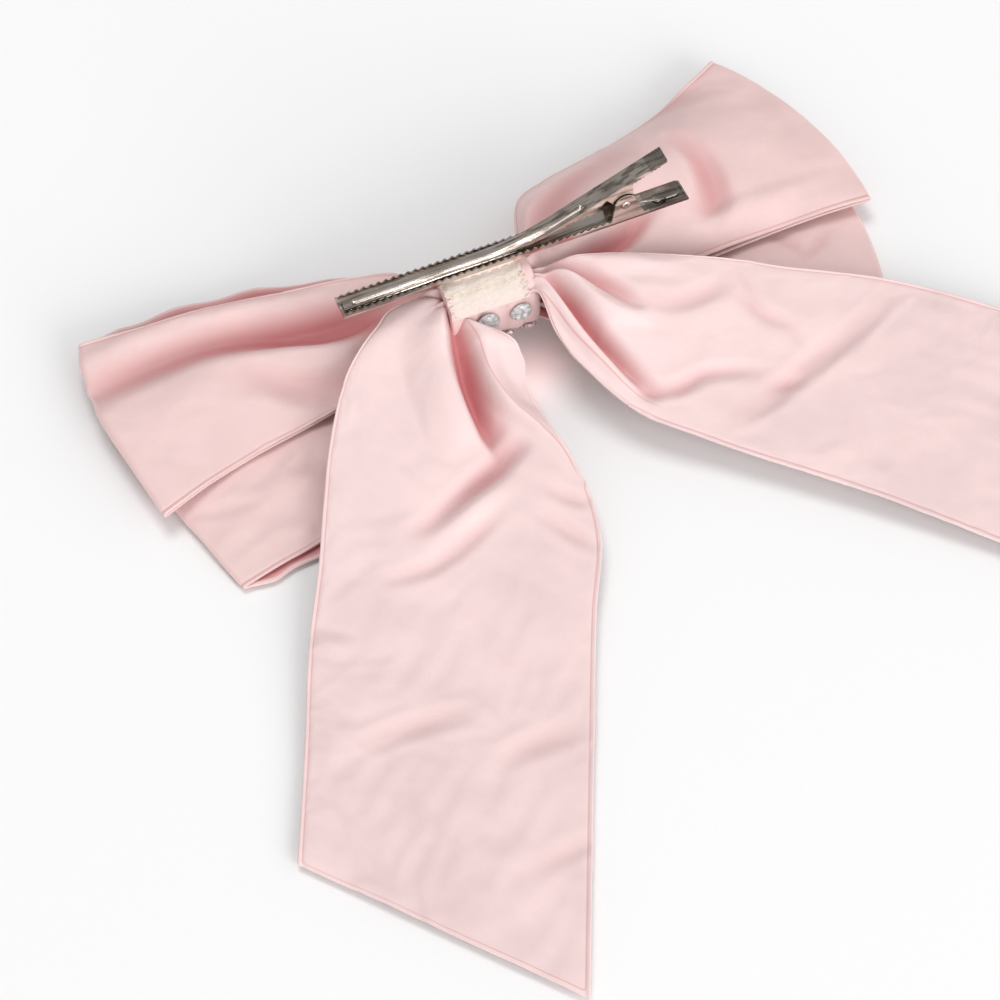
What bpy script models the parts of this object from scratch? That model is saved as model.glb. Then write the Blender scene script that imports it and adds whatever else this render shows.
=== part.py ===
"""Bow hair clip: a toothed steel alligator clip fastened to the back of a large satin bow with two tails.

The bow lies face down, so +Z points out of its back, where the clip is.  +X runs along the clip from its
tip to its handles, and the tails leave the knot towards -Y.  The origin is on the surface the bow lies on,
under the middle of the whole object.  Lengths below are in millimetres and are turned into metres once.
"""
import math
from typing import NamedTuple

import bmesh
import bpy
from mathutils import Matrix, Vector

MM = 0.001

# Where the knot stands in the part's frame.
KNOT_X = -26.0
KNOT_Y = 63.1

# Knot: a band wrapped round the gathered middle of the bow.
KNOT_MID_Y = 3.5
KNOT_MID_Z = 18.6
KNOT_HALF_LENGTH = 12.5
KNOT_HALF_Y = 10.3
KNOT_HALF_Z = 10.0
KNOT_SQUARENESS = 2.6
WRAP_WALL = 1.0
LABEL_HALF_LENGTH = 11.4
LABEL_THICKNESS = 0.4
TOUCH_GAP = 0.3

# Clip: pressed steel strip, in its own frame with u along the lower jaw from its tip and w up.
CLIP_TIP = (-40.0, 4.5, 30.1)
CLIP_SLOPE_DEG = 1.75
STEEL = 0.5
JAW_LENGTH = 99.0
JAW_WIDTH = 6.6
WALL_HEIGHT = 1.9
TOOTH_PITCH = 2.1
TOOTH_DEPTH = 0.75
PIVOT_U = 80.6
PIVOT_W = 6.6
EAR_RADIUS = 3.1
HANDLE_WALL = 1.2
UPPER_WIDTH = 5.0
UPPER_TIP_WIDTH = 3.7
TAPER_START_U = 30.0
TAPER_END_U = 66.0
UPPER_WALL = 0.4
UPPER_TIP_U = 1.0
UPPER_TIP_W = 1.4
UPPER_END_U = 92.8
BEND_START_U = 42.0
BEND_END_U = 62.0
FRONT_RISE = 0.008
BACK_RISE = 0.40
RIB_HALF_WIDTH = 1.1
RIB_HEIGHT = 0.35
RIB_START_U = 3.2
RIB_END_U = 69.0
PIN_RADIUS = 0.9
HOLE_RADIUS = 0.97
PIN_HEAD_RADIUS = 1.35
PIN_HEAD_HEIGHT = 0.35
SPRING_RADIUS = 1.6
SPRING_WIRE = 0.3
SPRING_HALF_LENGTH = 1.4
SPRING_TURNS = 3
LOWER_LEG_END = (12.5, -5.45)
UPPER_LEG_END = (9.6, 8.9)

# Stones on the front and lower side of the knot: place along it, angle round it, radius.
STONES = [
    (-9.0, 186, 2.5), (-2.9, 173, 3.3), (6.6, 173, 3.0),
    (-5.6, 232, 3.0), (2.6, 230, 3.2), (10.2, 236, 2.6),
    (-8.2, 278, 2.8), (-0.6, 279, 3.3), (7.6, 282, 2.8),
    (-4.4, 324, 3.0), (4.4, 326, 3.0),
]


class Station(NamedTuple):
    """One cross-section of a soft piece, as a strip between two edges."""
    a: tuple            # plan position of the edge nearer +Y
    b: tuple            # plan position of the edge nearer -Y
    base: float         # height of the underside at the middle
    thick: float        # thickness at the middle
    rim: float          # thickness at the edges
    tilt: float = 0.0   # how much higher edge a lies than edge b
    sag: float = 0.0    # share of the crown that the underside takes
    bulge: float = 0.0  # how far the middle stands out along the strip


BACK_BOW = [
    Station((-102.5, 37.5), (-100.5, -20.5), 5.3, 3.2, 2.2, bulge=-5.5),
    Station((-86.0, 38.0), (-87.0, -17.0), 5.3, 5.0, 2.2, bulge=-3.0),
    Station((-69.0, 36.5), (-73.0, -13.5), 5.3, 6.5, 2.2),
    Station((-43.0, 31.0), (-46.0, -9.5), 7.0, 6.0, 2.0),
    Station((-28.0, 25.0), (-30.0, -7.0), 12.3, 6.0, 2.0),
    Station((-19.0, 18.5), (-20.5, -4.5), 17.2, 5.2, 2.0),
    Station((-13.5, 11.0), (-13.5, -3.6), 19.2, 6.6, 3.0),
    Station((13.5, 11.0), (13.5, -3.6), 19.2, 6.6, 3.0),
    Station((17.5, 21.0), (20.0, -3.8), 16.6, 7.0, 2.4),
    Station((22.0, 32.0), (27.0, -4.6), 12.4, 10.5, 3.0),
    Station((33.0, 40.0), (39.0, -3.6), 7.6, 14.5, 3.4),
    Station((53.0, 45.5), (56.0, -0.5), 5.3, 16.0, 4.0),
    Station((74.0, 53.5), (82.0, 1.5), 5.3, 12.5, 3.4),
    Station((88.0, 60.5), (101.0, 2.4), 5.3, 6.5, 2.6, bulge=2.5),
    Station((96.5, 65.5), (115.5, 2.2), 5.3, 3.2, 2.2, bulge=4.5),
]

FRONT_BOW = [
    Station((-103.0, 8.0), (-87.4, -48.5), 0.0, 3.0, 2.0, bulge=-3.0),
    Station((-86.0, 10.0), (-77.0, -46.2), 0.0, 4.6, 2.0),
    Station((-66.0, 12.0), (-62.0, -42.5), 0.0, 4.7, 2.0),
    Station((-44.0, 12.0), (-40.0, -29.0), 0.0, 4.7, 2.0),
    Station((-28.0, 11.5), (-26.0, -15.0), 4.6, 5.2, 2.4, sag=0.3),
    Station((-18.5, 11.0), (-18.5, -7.0), 9.8, 5.6, 2.6, sag=0.7),
    Station((-13.5, 10.4), (-13.5, -3.6), 11.2, 6.8, 3.0, sag=1.0),
    Station((13.5, 10.4), (13.5, -3.6), 11.2, 6.8, 3.0, sag=1.0),
    Station((18.5, 11.5), (18.5, -7.0), 9.0, 5.6, 2.6, sag=0.7),
    Station((28.0, 13.0), (26.0, -13.0), 4.4, 5.2, 2.4, sag=0.3),
    Station((44.0, 13.0), (42.0, -25.0), 0.0, 4.7, 2.0),
    Station((68.0, 13.0), (66.0, -37.0), 0.0, 4.7, 2.0),
    Station((92.0, 12.0), (84.0, -43.0), 0.0, 4.6, 2.0),
    Station((112.0, 10.0), (97.0, -46.5), 0.0, 3.0, 2.0, bulge=3.0),
]

TAIL_LEFT = [
    Station((-19.4, -1.9), (-13.0, -5.0), 23.0, 3.4, 2.4, tilt=0.5),
    Station((-25.0, 0.6), (-11.0, -14.5), 19.6, 3.4, 2.4, tilt=5.0),
    Station((-36.0, -4.5), (-9.0, -29.0), 15.4, 3.4, 2.2, tilt=3.6),
    Station((-47.0, -11.5), (-3.5, -44.0), 10.6, 3.2, 2.0, tilt=5.6),
    Station((-60.0, -33.0), (1.5, -56.0), 6.0, 3.0, 1.8, tilt=0.4),
    Station((-68.5, -51.0), (0.5, -72.5), 5.0, 2.8, 1.6),
    Station((-79.0, -71.5), (-9.0, -93.0), 2.4, 2.6, 1.6),
    Station((-91.0, -99.0), (-27.5, -133.0), 0.6, 2.4, 1.6),
    Station((-105.0, -130.5), (-54.5, -191.7), 0.0, 2.2, 1.6),
]

TAIL_RIGHT = [
    Station((17.8, 0.2), (13.4, -4.2), 24.4, 2.8, 2.2, tilt=0.6),
    Station((31.0, -1.4), (15.6, -17.0), 17.4, 3.6, 2.4, tilt=9.0),
    Station((62.0, -10.0), (19.4, -29.5), 14.4, 3.4, 2.2, tilt=8.0),
    Station((81.0, -18.0), (25.0, -41.0), 11.6, 3.2, 2.0, tilt=5.0),
    Station((105.0, -28.5), (41.0, -57.5), 8.6, 3.0, 1.8, tilt=2.5),
    Station((131.0, -47.5), (71.0, -88.5), 5.6, 2.6, 1.6, tilt=0.4),
    Station((159.0, -72.0), (127.5, -148.5), 0.0, 2.2, 1.6),
]

STRIP_COLUMNS = 8

# Where each tail bends at the knot, and the way it points.
TAIL_LEFT_ROOT = (-14.0, -4.5, 24.5)
TAIL_LEFT_HEADING_DEG = -116.0
TAIL_RIGHT_ROOT = (14.6, -2.6, 25.0)
TAIL_RIGHT_HEADING_DEG = -45.0

STEEL_LOOK = ((0.62, 0.59, 0.56), 0.16, 1.0)
SATIN_LOOK = ((0.86, 0.60, 0.60), 0.45, 0.0)
LABEL_LOOK = ((0.93, 0.84, 0.80), 0.8, 0.0)
THREAD_LOOK = ((0.90, 0.72, 0.70), 0.7, 0.0)
GLUE_LOOK = ((0.90, 0.78, 0.74), 0.35, 0.0)
STONE_LOOK = ((0.95, 0.95, 0.97), 0.03, 0.0)


def clear_scene():
    for item in list(bpy.data.objects):
        bpy.data.objects.remove(item, do_unlink=True)


def make_material(name, look):
    colour, roughness, metallic = look
    made = bpy.data.materials.new(name)
    made.use_nodes = True
    shader = made.node_tree.nodes["Principled BSDF"]
    shader.inputs["Base Color"].default_value = (*colour, 1.0)
    shader.inputs["Roughness"].default_value = roughness
    shader.inputs["Metallic"].default_value = metallic
    return made


def make_empty(name, location, parent=None, rotation=(0.0, 0.0, 0.0)):
    empty = bpy.data.objects.new(name, None)
    empty.location = Vector(location) * MM
    empty.rotation_euler = rotation
    empty.parent = parent
    bpy.context.scene.collection.objects.link(empty)
    return empty


def make_object(name, shape, look, parent, smooth=False):
    """Turn a bmesh in millimetres into a named object with its own material."""
    bmesh.ops.recalc_face_normals(shape, faces=shape.faces)
    bmesh.ops.scale(shape, vec=(MM, MM, MM), verts=shape.verts)
    mesh = bpy.data.meshes.new(name)
    shape.to_mesh(mesh)
    shape.free()
    if smooth:
        mesh.shade_smooth()
        mesh.set_sharp_from_angle(angle=math.radians(40))
    mesh.materials.append(make_material(name, look))
    made = bpy.data.objects.new(name, mesh)
    made.parent = parent
    bpy.context.scene.collection.objects.link(made)
    return made


def make_cutter(name, shape, parent):
    cutter = make_object(name, shape, STEEL_LOOK, parent)
    cutter.hide_render = True
    cutter.display_type = "WIRE"
    return cutter


def boolean(target, other, operation):
    step = target.modifiers.new(operation.lower(), "BOOLEAN")
    step.object = other
    step.operation = operation
    step.solver = "EXACT"


def skin(rings, closed=False):
    """Join rings of points with quads, and cap both ends unless the rings close on themselves."""
    shape = bmesh.new()
    made = [[shape.verts.new(point) for point in ring] for ring in rings]
    count = len(made[0])
    spans = len(made) if closed else len(made) - 1
    for i in range(spans):
        here = made[i]
        there = made[(i + 1) % len(made)]
        for k in range(count):
            n = (k + 1) % count
            shape.faces.new((here[k], here[n], there[n], there[k]))
    if not closed:
        shape.faces.new(made[0])
        shape.faces.new(made[-1])
    return shape


def prism(outline, y_low, y_high):
    """Extrude a side outline of (u, w) points across the clip's width."""
    return skin([[Vector((u, y, w)) for u, w in outline] for y in (y_low, y_high)])


def cylinder(radius, y_low, y_high, sides, centre=(0.0, 0.0)):
    step = 360 / sides
    return prism(arc(centre, radius, step / 2, 360 - step / 2, sides - 1), y_low, y_high)


# ---------------------------------------------------------------- soft pieces

def strip_ring(station):
    """Points round one cross-section of a strip: along its top from edge a to b, then back below."""
    a = Vector(station.a)
    b = Vector(station.b)
    across = b - a
    outward = Vector((across.y, -across.x)).normalized()
    top = []
    under = []
    for k in range(STRIP_COLUMNS + 1):
        share = k / STRIP_COLUMNS
        edge = (2 * share - 1) ** 2
        plan = a + across * share - outward * station.bulge * (1 - edge)
        crown = station.thick - station.rim
        low = station.base + station.tilt * (0.5 - share) + station.sag * crown * edge
        top.append(Vector((plan.x, plan.y, low + station.rim + crown * (1 - edge))))
        under.append(Vector((plan.x, plan.y, low)))
    return top + under[::-1]


def make_strip(name, stations, parent, offset=(0.0, 0.0, 0.0)):
    shift = Vector(offset)
    rings = [[point - shift for point in strip_ring(station)] for station in stations]
    return make_object(name, skin(rings), SATIN_LOOK, parent, smooth=True)


def make_tail(name, stations, root, heading_deg, parent):
    """A tail whose parent empty stands on the line it bends about, with its X axis along that line."""
    heading = math.radians(heading_deg)
    bend = make_empty(name + "_bend", root, parent, rotation=(0.0, 0.0, heading - math.pi / 2))
    tail = make_strip(name, stations, bend, offset=root)
    tail.rotation_euler = (0.0, 0.0, math.pi / 2 - heading)
    return tail


def around_knot(angle_deg, off=0.0):
    """Point and outward direction on the knot's rounded cross-section, off the surface by off."""
    angle = math.radians(angle_deg)
    c = math.cos(angle)
    s = math.sin(angle)
    power = 2 / KNOT_SQUARENESS
    y = math.copysign(abs(c) ** power, c)
    z = math.copysign(abs(s) ** power, s)
    slope = KNOT_SQUARENESS - 1
    out = Vector((0.0,
                  math.copysign(abs(y) ** slope, c) / KNOT_HALF_Y,
                  math.copysign(abs(z) ** slope, s) / KNOT_HALF_Z)).normalized()
    point = Vector((0.0, KNOT_MID_Y + KNOT_HALF_Y * y, KNOT_MID_Z + KNOT_HALF_Z * z))
    return point + out * off, out


def make_knot_wrap(parent):
    """The band round the knot: a rounded tube, open at both ends, slightly drawn in at its mouths."""
    profile = [(-KNOT_HALF_LENGTH, -0.35), (-KNOT_HALF_LENGTH + 2.0, 0.0), (KNOT_HALF_LENGTH - 2.0, 0.0),
               (KNOT_HALF_LENGTH, -0.35), (KNOT_HALF_LENGTH, -WRAP_WALL), (-KNOT_HALF_LENGTH, -WRAP_WALL)]
    rings = []
    for k in range(40):
        angle = 360 * (k + 0.5) / 40
        rings.append([around_knot(angle, off)[0] + Vector((x, 0, 0)) for x, off in profile])
    return make_object("knot_wrap", skin(rings, closed=True), SATIN_LOOK, parent, smooth=True)


def make_label(parent):
    """A short woven tape that lies on the knot's back, from beside the clip down the tails' side."""
    rings = []
    for k in range(9):
        angle = 103 + 50 * k / 8
        near = around_knot(angle, TOUCH_GAP)[0]
        far = around_knot(angle, TOUCH_GAP + LABEL_THICKNESS)[0]
        half = LABEL_HALF_LENGTH
        rings.append([near + Vector((-half, 0, 0)), near + Vector((half, 0, 0)),
                      far + Vector((half, 0, 0)), far + Vector((-half, 0, 0))])
    return make_object("woven_label", skin(rings), LABEL_LOOK, parent)


def make_tube(name, points, radius, look, parent, round_sides=1):
    """A thread or wire through the given points, with filled ends."""
    curve = bpy.data.curves.new(name, "CURVE")
    curve.dimensions = "3D"
    curve.bevel_depth = radius * MM
    curve.bevel_resolution = round_sides
    curve.use_fill_caps = True
    line = curve.splines.new("POLY")
    line.points.add(len(points) - 1)
    for knot, point in zip(line.points, points):
        knot.co = (*(Vector(point) * MM), 1.0)
    curve.materials.append(make_material(name, look))
    made = bpy.data.objects.new(name, curve)
    made.parent = parent
    bpy.context.scene.collection.objects.link(made)
    return made


def make_label_tack(side, parent):
    """Zigzag stitching that holds one end of the label to the knot."""
    points = []
    for k in range(7):
        reach = 0.55 if k % 2 else -0.55
        spot = around_knot(112 + 5.5 * k, TOUCH_GAP * 2 + LABEL_THICKNESS + 0.25)[0]
        points.append(spot + Vector((side * (LABEL_HALF_LENGTH - 1.1 + reach), 0, 0)))
    name = "label_tack_left" if side < 0 else "label_tack_right"
    return make_tube(name, points, 0.2, THREAD_LOOK, parent)


def make_gather_thread(parent):
    """Thread wound round the gathered ribbons, inside the wrap."""
    points = []
    turns = 3
    steps = 32
    for k in range(turns * steps + 1):
        spot = around_knot(360 * k / steps + 90, -WRAP_WALL - TOUCH_GAP - 0.25)[0]
        points.append(spot + Vector((0.9 * (k / steps - turns / 2), 0, 0)))
    return make_tube("gather_thread", points, 0.25, THREAD_LOOK, parent)


def make_stone(number, x, angle_deg, radius, parent):
    """A flat-backed round stone with a faceted crown, standing on the knot's surface."""
    spot, out = around_knot(angle_deg, TOUCH_GAP)
    along = Vector((1, 0, 0))
    side = out.cross(along)
    shape = bmesh.new()
    layers = [(0.92, 0.0, 16, 0.0), (1.0, 0.22, 16, 0.0), (0.84, 0.40, 8, 0.5), (0.55, 0.56, 8, 0.0)]
    for share, height, sides, turn in layers:
        for k in range(sides):
            angle = 2 * math.pi * (k + turn) / sides
            flat = along * math.cos(angle) + side * math.sin(angle)
            shape.verts.new(spot + Vector((x, 0, 0)) + (flat * share + out * height) * radius)
    bmesh.ops.convex_hull(shape, input=shape.verts)
    return make_object(f"stone_{number:02d}", shape, STONE_LOOK, parent)


def make_glue_bead(parent):
    """The bead of adhesive between the knot's back and the lower jaw."""
    length = 23.0
    half_width = 3.6
    low = KNOT_MID_Z + KNOT_HALF_Z + TOUCH_GAP
    rings = []
    for k in range(13):
        share = 2 * k / 12 - 1
        x = share * length / 2
        half = half_width * (1 - 0.55 * share ** 4) + 0.25 * math.sin(2.3 * k)
        jaw_under = CLIP_TIP[2] + (x - CLIP_TIP[0]) * math.tan(math.radians(CLIP_SLOPE_DEG))
        high = jaw_under - TOUCH_GAP
        middle = (low + high) / 2
        y = CLIP_TIP[1] + 0.3
        rings.append([Vector((x, y - half, middle)), Vector((x, y - half * 0.7, low)),
                      Vector((x, y + half * 0.7, low)), Vector((x, y + half, middle)),
                      Vector((x, y + half * 0.7, high)), Vector((x, y - half * 0.7, high))])
    return make_object("glue_bead", skin(rings), GLUE_LOOK, parent, smooth=True)


# ---------------------------------------------------------------- clip

def teeth(u_from, u_to, w_of, depth, pitch, up=1):
    """A saw edge between two places: valleys on w_of(u), points depth beyond it."""
    count = max(1, round((u_to - u_from) / pitch))
    step = (u_to - u_from) / count
    points = []
    for k in range(count):
        u = u_from + k * step
        points.append((u, w_of(u)))
        points.append((u + step / 2, w_of(u + step / 2) + up * depth))
    points.append((u_to, w_of(u_to)))
    return points


def arc(centre, radius, from_deg, to_deg, steps):
    points = []
    for k in range(steps + 1):
        angle = math.radians(from_deg + (to_deg - from_deg) * k / steps)
        points.append((centre[0] + radius * math.cos(angle), centre[1] + radius * math.sin(angle)))
    return points


def lower_jaw_outline():
    valley = WALL_HEIGHT - TOOTH_DEPTH
    ear_front = PIVOT_U - EAR_RADIUS - 0.9
    handle_start = PIVOT_U + EAR_RADIUS + 2.2
    outline = [(0.0, 0.0), (0.0, WALL_HEIGHT - 0.3)]
    outline += teeth(0.9, ear_front - 0.4, lambda u: valley, TOOTH_DEPTH, TOOTH_PITCH)
    outline += [(ear_front, valley + 0.3)]
    outline += arc((PIVOT_U, PIVOT_W), EAR_RADIUS, 180, 20, 12)
    outline += [(handle_start, HANDLE_WALL + 0.3), (handle_start + 0.8, HANDLE_WALL)]
    outline += [(JAW_LENGTH - 1.2, HANDLE_WALL), (JAW_LENGTH, HANDLE_WALL * 0.5), (JAW_LENGTH, 0.0)]
    return outline


def racetrack(u_from, u_to, half_width, w_low, w_high):
    """A flat bar with round ends, seen from above."""
    outline = []
    for centre, start in ((u_to - half_width, -90), (u_from + half_width, 90)):
        outline += arc((centre, 0.0), half_width, start, start + 180, 8)
    return skin([[Vector((u, y, w)) for u, y in outline] for w in (w_low, w_high)])


def make_lower_jaw(clip):
    half = JAW_WIDTH / 2
    jaw = make_object("lower_jaw", prism(lower_jaw_outline(), -half, half), STEEL_LOOK, clip)
    inner = half - STEEL
    lip = STEEL + 0.1
    channel = prism([(lip, STEEL), (JAW_LENGTH - lip, STEEL), (JAW_LENGTH - lip, 20.0), (lip, 20.0)],
                    -inner, inner)
    boolean(jaw, make_cutter("lower_channel_cutter", channel, clip), "DIFFERENCE")
    bore = cylinder(HOLE_RADIUS, -half - 1, half + 1, 24, (PIVOT_U, PIVOT_W))
    boolean(jaw, make_cutter("lower_bore_cutter", bore, clip), "DIFFERENCE")
    pad = racetrack(JAW_LENGTH - 9.0, JAW_LENGTH - 2.0, 1.3, STEEL - 0.2, STEEL + 0.45)
    boolean(jaw, make_cutter("handle_pad_shape", pad, clip), "UNION")
    dish = racetrack(JAW_LENGTH - 8.4, JAW_LENGTH - 2.6, 0.75, STEEL + 0.15, STEEL + 1.0)
    boolean(jaw, make_cutter("handle_pad_cutter", dish, clip), "DIFFERENCE")
    return jaw


def upper_top(u):
    """Height of the upper jaw's top face: nearly flat, one long bend, then a straight rise."""
    if u <= BEND_START_U:
        return UPPER_TIP_W + FRONT_RISE * (u - UPPER_TIP_U)
    start = UPPER_TIP_W + FRONT_RISE * (BEND_START_U - UPPER_TIP_U)
    span = BEND_END_U - BEND_START_U
    into = min(u, BEND_END_U) - BEND_START_U
    bent = start + FRONT_RISE * into + (BACK_RISE - FRONT_RISE) * into ** 2 / (2 * span)
    return bent + BACK_RISE * max(0.0, u - BEND_END_U)


def upper_jaw_outline():
    skirt = 1.35
    ear_from = 75.5
    ear_to = 83.0
    tooth = 0.5
    top = [(u, upper_top(u)) for u in (UPPER_TIP_U, TAPER_START_U, BEND_START_U)]
    top += [(u, upper_top(u)) for u in (46, 50, 54, 58, BEND_END_U, TAPER_END_U, UPPER_END_U)]
    under = [(UPPER_END_U, upper_top(UPPER_END_U) - 1.0)]
    under += teeth(ear_to + 0.4, UPPER_END_U - 1.6, lambda u: upper_top(u) - 1.0, 0.35, 1.05, up=-1)[::-1]
    under += [(ear_to, upper_top(ear_to) - 1.1)]
    under += arc((PIVOT_U, PIVOT_W), 2.5, 0, -180, 10)
    under += [(ear_from, upper_top(ear_from) - skirt)]
    under += teeth(BEND_END_U + 0.6, ear_from - 0.4, lambda u: upper_top(u) - skirt, tooth, 1.6, up=-1)[::-1]
    low_places = (BEND_END_U - 1.4, 58, 54, 50, 46, BEND_START_U, TAPER_START_U)
    under += [(u, upper_top(u) - STEEL - 0.2) for u in low_places]
    under += [(UPPER_TIP_U, upper_top(UPPER_TIP_U) - STEEL - 0.1)]
    return top + under


def make_rib():
    """The long rounded bar pressed up along the middle of the upper jaw."""
    places = [RIB_START_U + d for d in (0.0, 0.3, 0.8)]
    places += [8.0, 20.0, BEND_START_U, 46.0, 50.0, 54.0, 58.0, BEND_END_U]
    places += [RIB_END_U - d for d in (0.8, 0.3, 0.0)]
    rings = []
    for u in places:
        inside = min(u - RIB_START_U, RIB_END_U - u, RIB_HALF_WIDTH)
        share = math.sqrt(max(0.08, 1 - (1 - inside / RIB_HALF_WIDTH) ** 2))
        half = RIB_HALF_WIDTH * share
        w = upper_top(u)
        rings.append([Vector((u, -half, w - 0.2)), Vector((u, half, w - 0.2)),
                      Vector((u, half * 0.75, w + RIB_HEIGHT)), Vector((u, -half * 0.75, w + RIB_HEIGHT))])
    return skin(rings)


def tapered(shape):
    """Narrow the upper jaw towards its tip, so that it lies between the lower jaw's toothed walls."""
    for vert in shape.verts:
        share = (vert.co.x - TAPER_START_U) / (TAPER_END_U - TAPER_START_U)
        share = min(1.0, max(0.0, share))
        width = UPPER_TIP_WIDTH + (UPPER_WIDTH - UPPER_TIP_WIDTH) * share
        vert.co.y *= width / UPPER_WIDTH
    return shape


def shifted(shape, u, w):
    bmesh.ops.translate(shape, vec=(-u, 0.0, -w), verts=shape.verts)
    return shape


def make_upper_jaw(pivot):
    """The upper jaw, drawn from the pivot, which is its origin."""
    half = UPPER_WIDTH / 2
    body = shifted(tapered(prism(upper_jaw_outline(), -half, half)), PIVOT_U, PIVOT_W)
    jaw = make_object("upper_jaw", body, STEEL_LOOK, pivot)
    boolean(jaw, make_cutter("rib_shape", shifted(make_rib(), PIVOT_U, PIVOT_W), pivot), "UNION")
    places = (0.0, UPPER_TIP_U, 30, BEND_START_U, 46, 50, 54, 58, BEND_END_U, 66, UPPER_END_U + 1.0)
    roof = [(u, upper_top(u) - STEEL) for u in places]
    trough = [(UPPER_END_U + 1.0, -4.0), (0.0, -4.0)]
    inner = half - UPPER_WALL
    hollow = shifted(tapered(prism(roof + trough, -inner, inner)), PIVOT_U, PIVOT_W)
    boolean(jaw, make_cutter("upper_channel_cutter", hollow, pivot), "DIFFERENCE")
    bore = cylinder(HOLE_RADIUS, -half - 1, half + 1, 24)
    boolean(jaw, make_cutter("upper_bore_cutter", bore, pivot), "DIFFERENCE")
    return jaw


def make_hinge_pin(pivot):
    """The rivet through both jaws, with a low domed head outside each ear."""
    half = JAW_WIDTH / 2 + 0.06
    head = PIN_HEAD_HEIGHT
    profile = [(-half - head, PIN_HEAD_RADIUS * 0.6), (-half - head * 0.6, PIN_HEAD_RADIUS), (-half, PIN_HEAD_RADIUS),
               (-half, PIN_RADIUS), (half, PIN_RADIUS), (half, PIN_HEAD_RADIUS),
               (half + head * 0.6, PIN_HEAD_RADIUS), (half + head, PIN_HEAD_RADIUS * 0.6)]
    rings = [[Vector((u, y, w)) for u, w in arc((0.0, 0.0), radius, 0, 345, 23)] for y, radius in profile]
    return make_object("hinge_pin", skin(rings), STEEL_LOOK, pivot, smooth=True)


def tangent_deg(end, side):
    """Angle at which a straight leg to end leaves the coil."""
    reach = math.hypot(*end)
    return math.degrees(math.atan2(end[1], end[0]) + side * math.acos(SPRING_RADIUS / reach))


def make_torsion_spring(pivot):
    """Coil round the pin, with one leg on each handle's inner face."""
    start = tangent_deg(LOWER_LEG_END, -1)
    finish = tangent_deg(UPPER_LEG_END, 1) - 360 * (SPRING_TURNS + 1)
    steps = 54
    points = [(LOWER_LEG_END[0], -SPRING_HALF_LENGTH, LOWER_LEG_END[1])]
    for k in range(steps + 1):
        share = k / steps
        angle = math.radians(start + (finish - start) * share)
        y = SPRING_HALF_LENGTH * (2 * share - 1)
        points.append((SPRING_RADIUS * math.cos(angle), y, SPRING_RADIUS * math.sin(angle)))
    points.append((UPPER_LEG_END[0], SPRING_HALF_LENGTH, UPPER_LEG_END[1]))
    return make_tube("torsion_spring", points, SPRING_WIRE, STEEL_LOOK, pivot, round_sides=2)


def make_bow(knot):
    make_strip("back_bow", BACK_BOW, knot)
    make_strip("front_bow", FRONT_BOW, knot)
    make_tail("tail_left", TAIL_LEFT, TAIL_LEFT_ROOT, TAIL_LEFT_HEADING_DEG, knot)
    make_tail("tail_right", TAIL_RIGHT, TAIL_RIGHT_ROOT, TAIL_RIGHT_HEADING_DEG, knot)
    make_knot_wrap(knot)
    make_gather_thread(knot)
    make_label(knot)
    make_label_tack(-1, knot)
    make_label_tack(1, knot)
    for number, (x, angle_deg, radius) in enumerate(STONES, start=1):
        make_stone(number, x, angle_deg, radius, knot)


def make_clip(knot):
    clip = make_empty("clip_frame", CLIP_TIP, knot, rotation=(0.0, -math.radians(CLIP_SLOPE_DEG), 0.0))
    pivot = make_empty("jaw_pivot", (PIVOT_U, 0.0, PIVOT_W), clip)
    make_lower_jaw(clip)
    make_upper_jaw(pivot)
    make_hinge_pin(pivot)
    make_torsion_spring(pivot)
    make_glue_bead(knot)


def main():
    clear_scene()
    knot = make_empty("knot_frame", (KNOT_X, KNOT_Y, 0.0))
    make_bow(knot)
    make_clip(knot)


main()
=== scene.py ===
"""Bow hair clip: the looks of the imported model.

The bow lies face down with its clip on top.  Fabric pieces are drawn as gathered strips between two edges,
with creases along plan paths, then relaxed by a short cloth simulation.  Lengths are millimetres in the
knot's frame, whose origin is on the ground under the knot, and are turned into the row frame's metres once.
"""

from math import acos, atan2, copysign, cos, degrees, hypot, pi, radians, sin, sqrt, tan
from typing import NamedTuple

import bmesh
import bpy
import numpy as np
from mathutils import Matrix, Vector
from numpy.linalg import norm


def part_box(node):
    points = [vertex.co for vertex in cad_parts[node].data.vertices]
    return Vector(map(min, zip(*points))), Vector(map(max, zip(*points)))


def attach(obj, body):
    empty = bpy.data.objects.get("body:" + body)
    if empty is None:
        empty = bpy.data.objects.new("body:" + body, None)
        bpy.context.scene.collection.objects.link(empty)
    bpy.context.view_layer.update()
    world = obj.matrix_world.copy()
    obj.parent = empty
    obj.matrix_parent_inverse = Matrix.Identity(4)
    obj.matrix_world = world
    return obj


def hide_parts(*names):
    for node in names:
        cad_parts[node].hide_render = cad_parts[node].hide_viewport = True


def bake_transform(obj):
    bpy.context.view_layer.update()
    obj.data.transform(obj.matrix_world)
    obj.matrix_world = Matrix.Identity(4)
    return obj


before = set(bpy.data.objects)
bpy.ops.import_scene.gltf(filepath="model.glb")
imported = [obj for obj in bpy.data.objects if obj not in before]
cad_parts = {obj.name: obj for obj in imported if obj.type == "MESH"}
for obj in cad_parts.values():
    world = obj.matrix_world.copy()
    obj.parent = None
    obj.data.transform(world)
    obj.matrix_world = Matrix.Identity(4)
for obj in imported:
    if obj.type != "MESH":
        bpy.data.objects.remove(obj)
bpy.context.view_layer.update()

MM = 0.001

# Knot, as in the CAD.
KNOT_MID_Y = 3.5
KNOT_MID_Z = 18.6
KNOT_HALF_Y = 10.3
KNOT_HALF_Z = 10.0
KNOT_SQUARENESS = 2.6
LABEL_HALF = 11.2
LABEL_SHIFT = -1.4
LABEL_FROM_DEG = 90.0
LABEL_TO_DEG = 153.0

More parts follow.
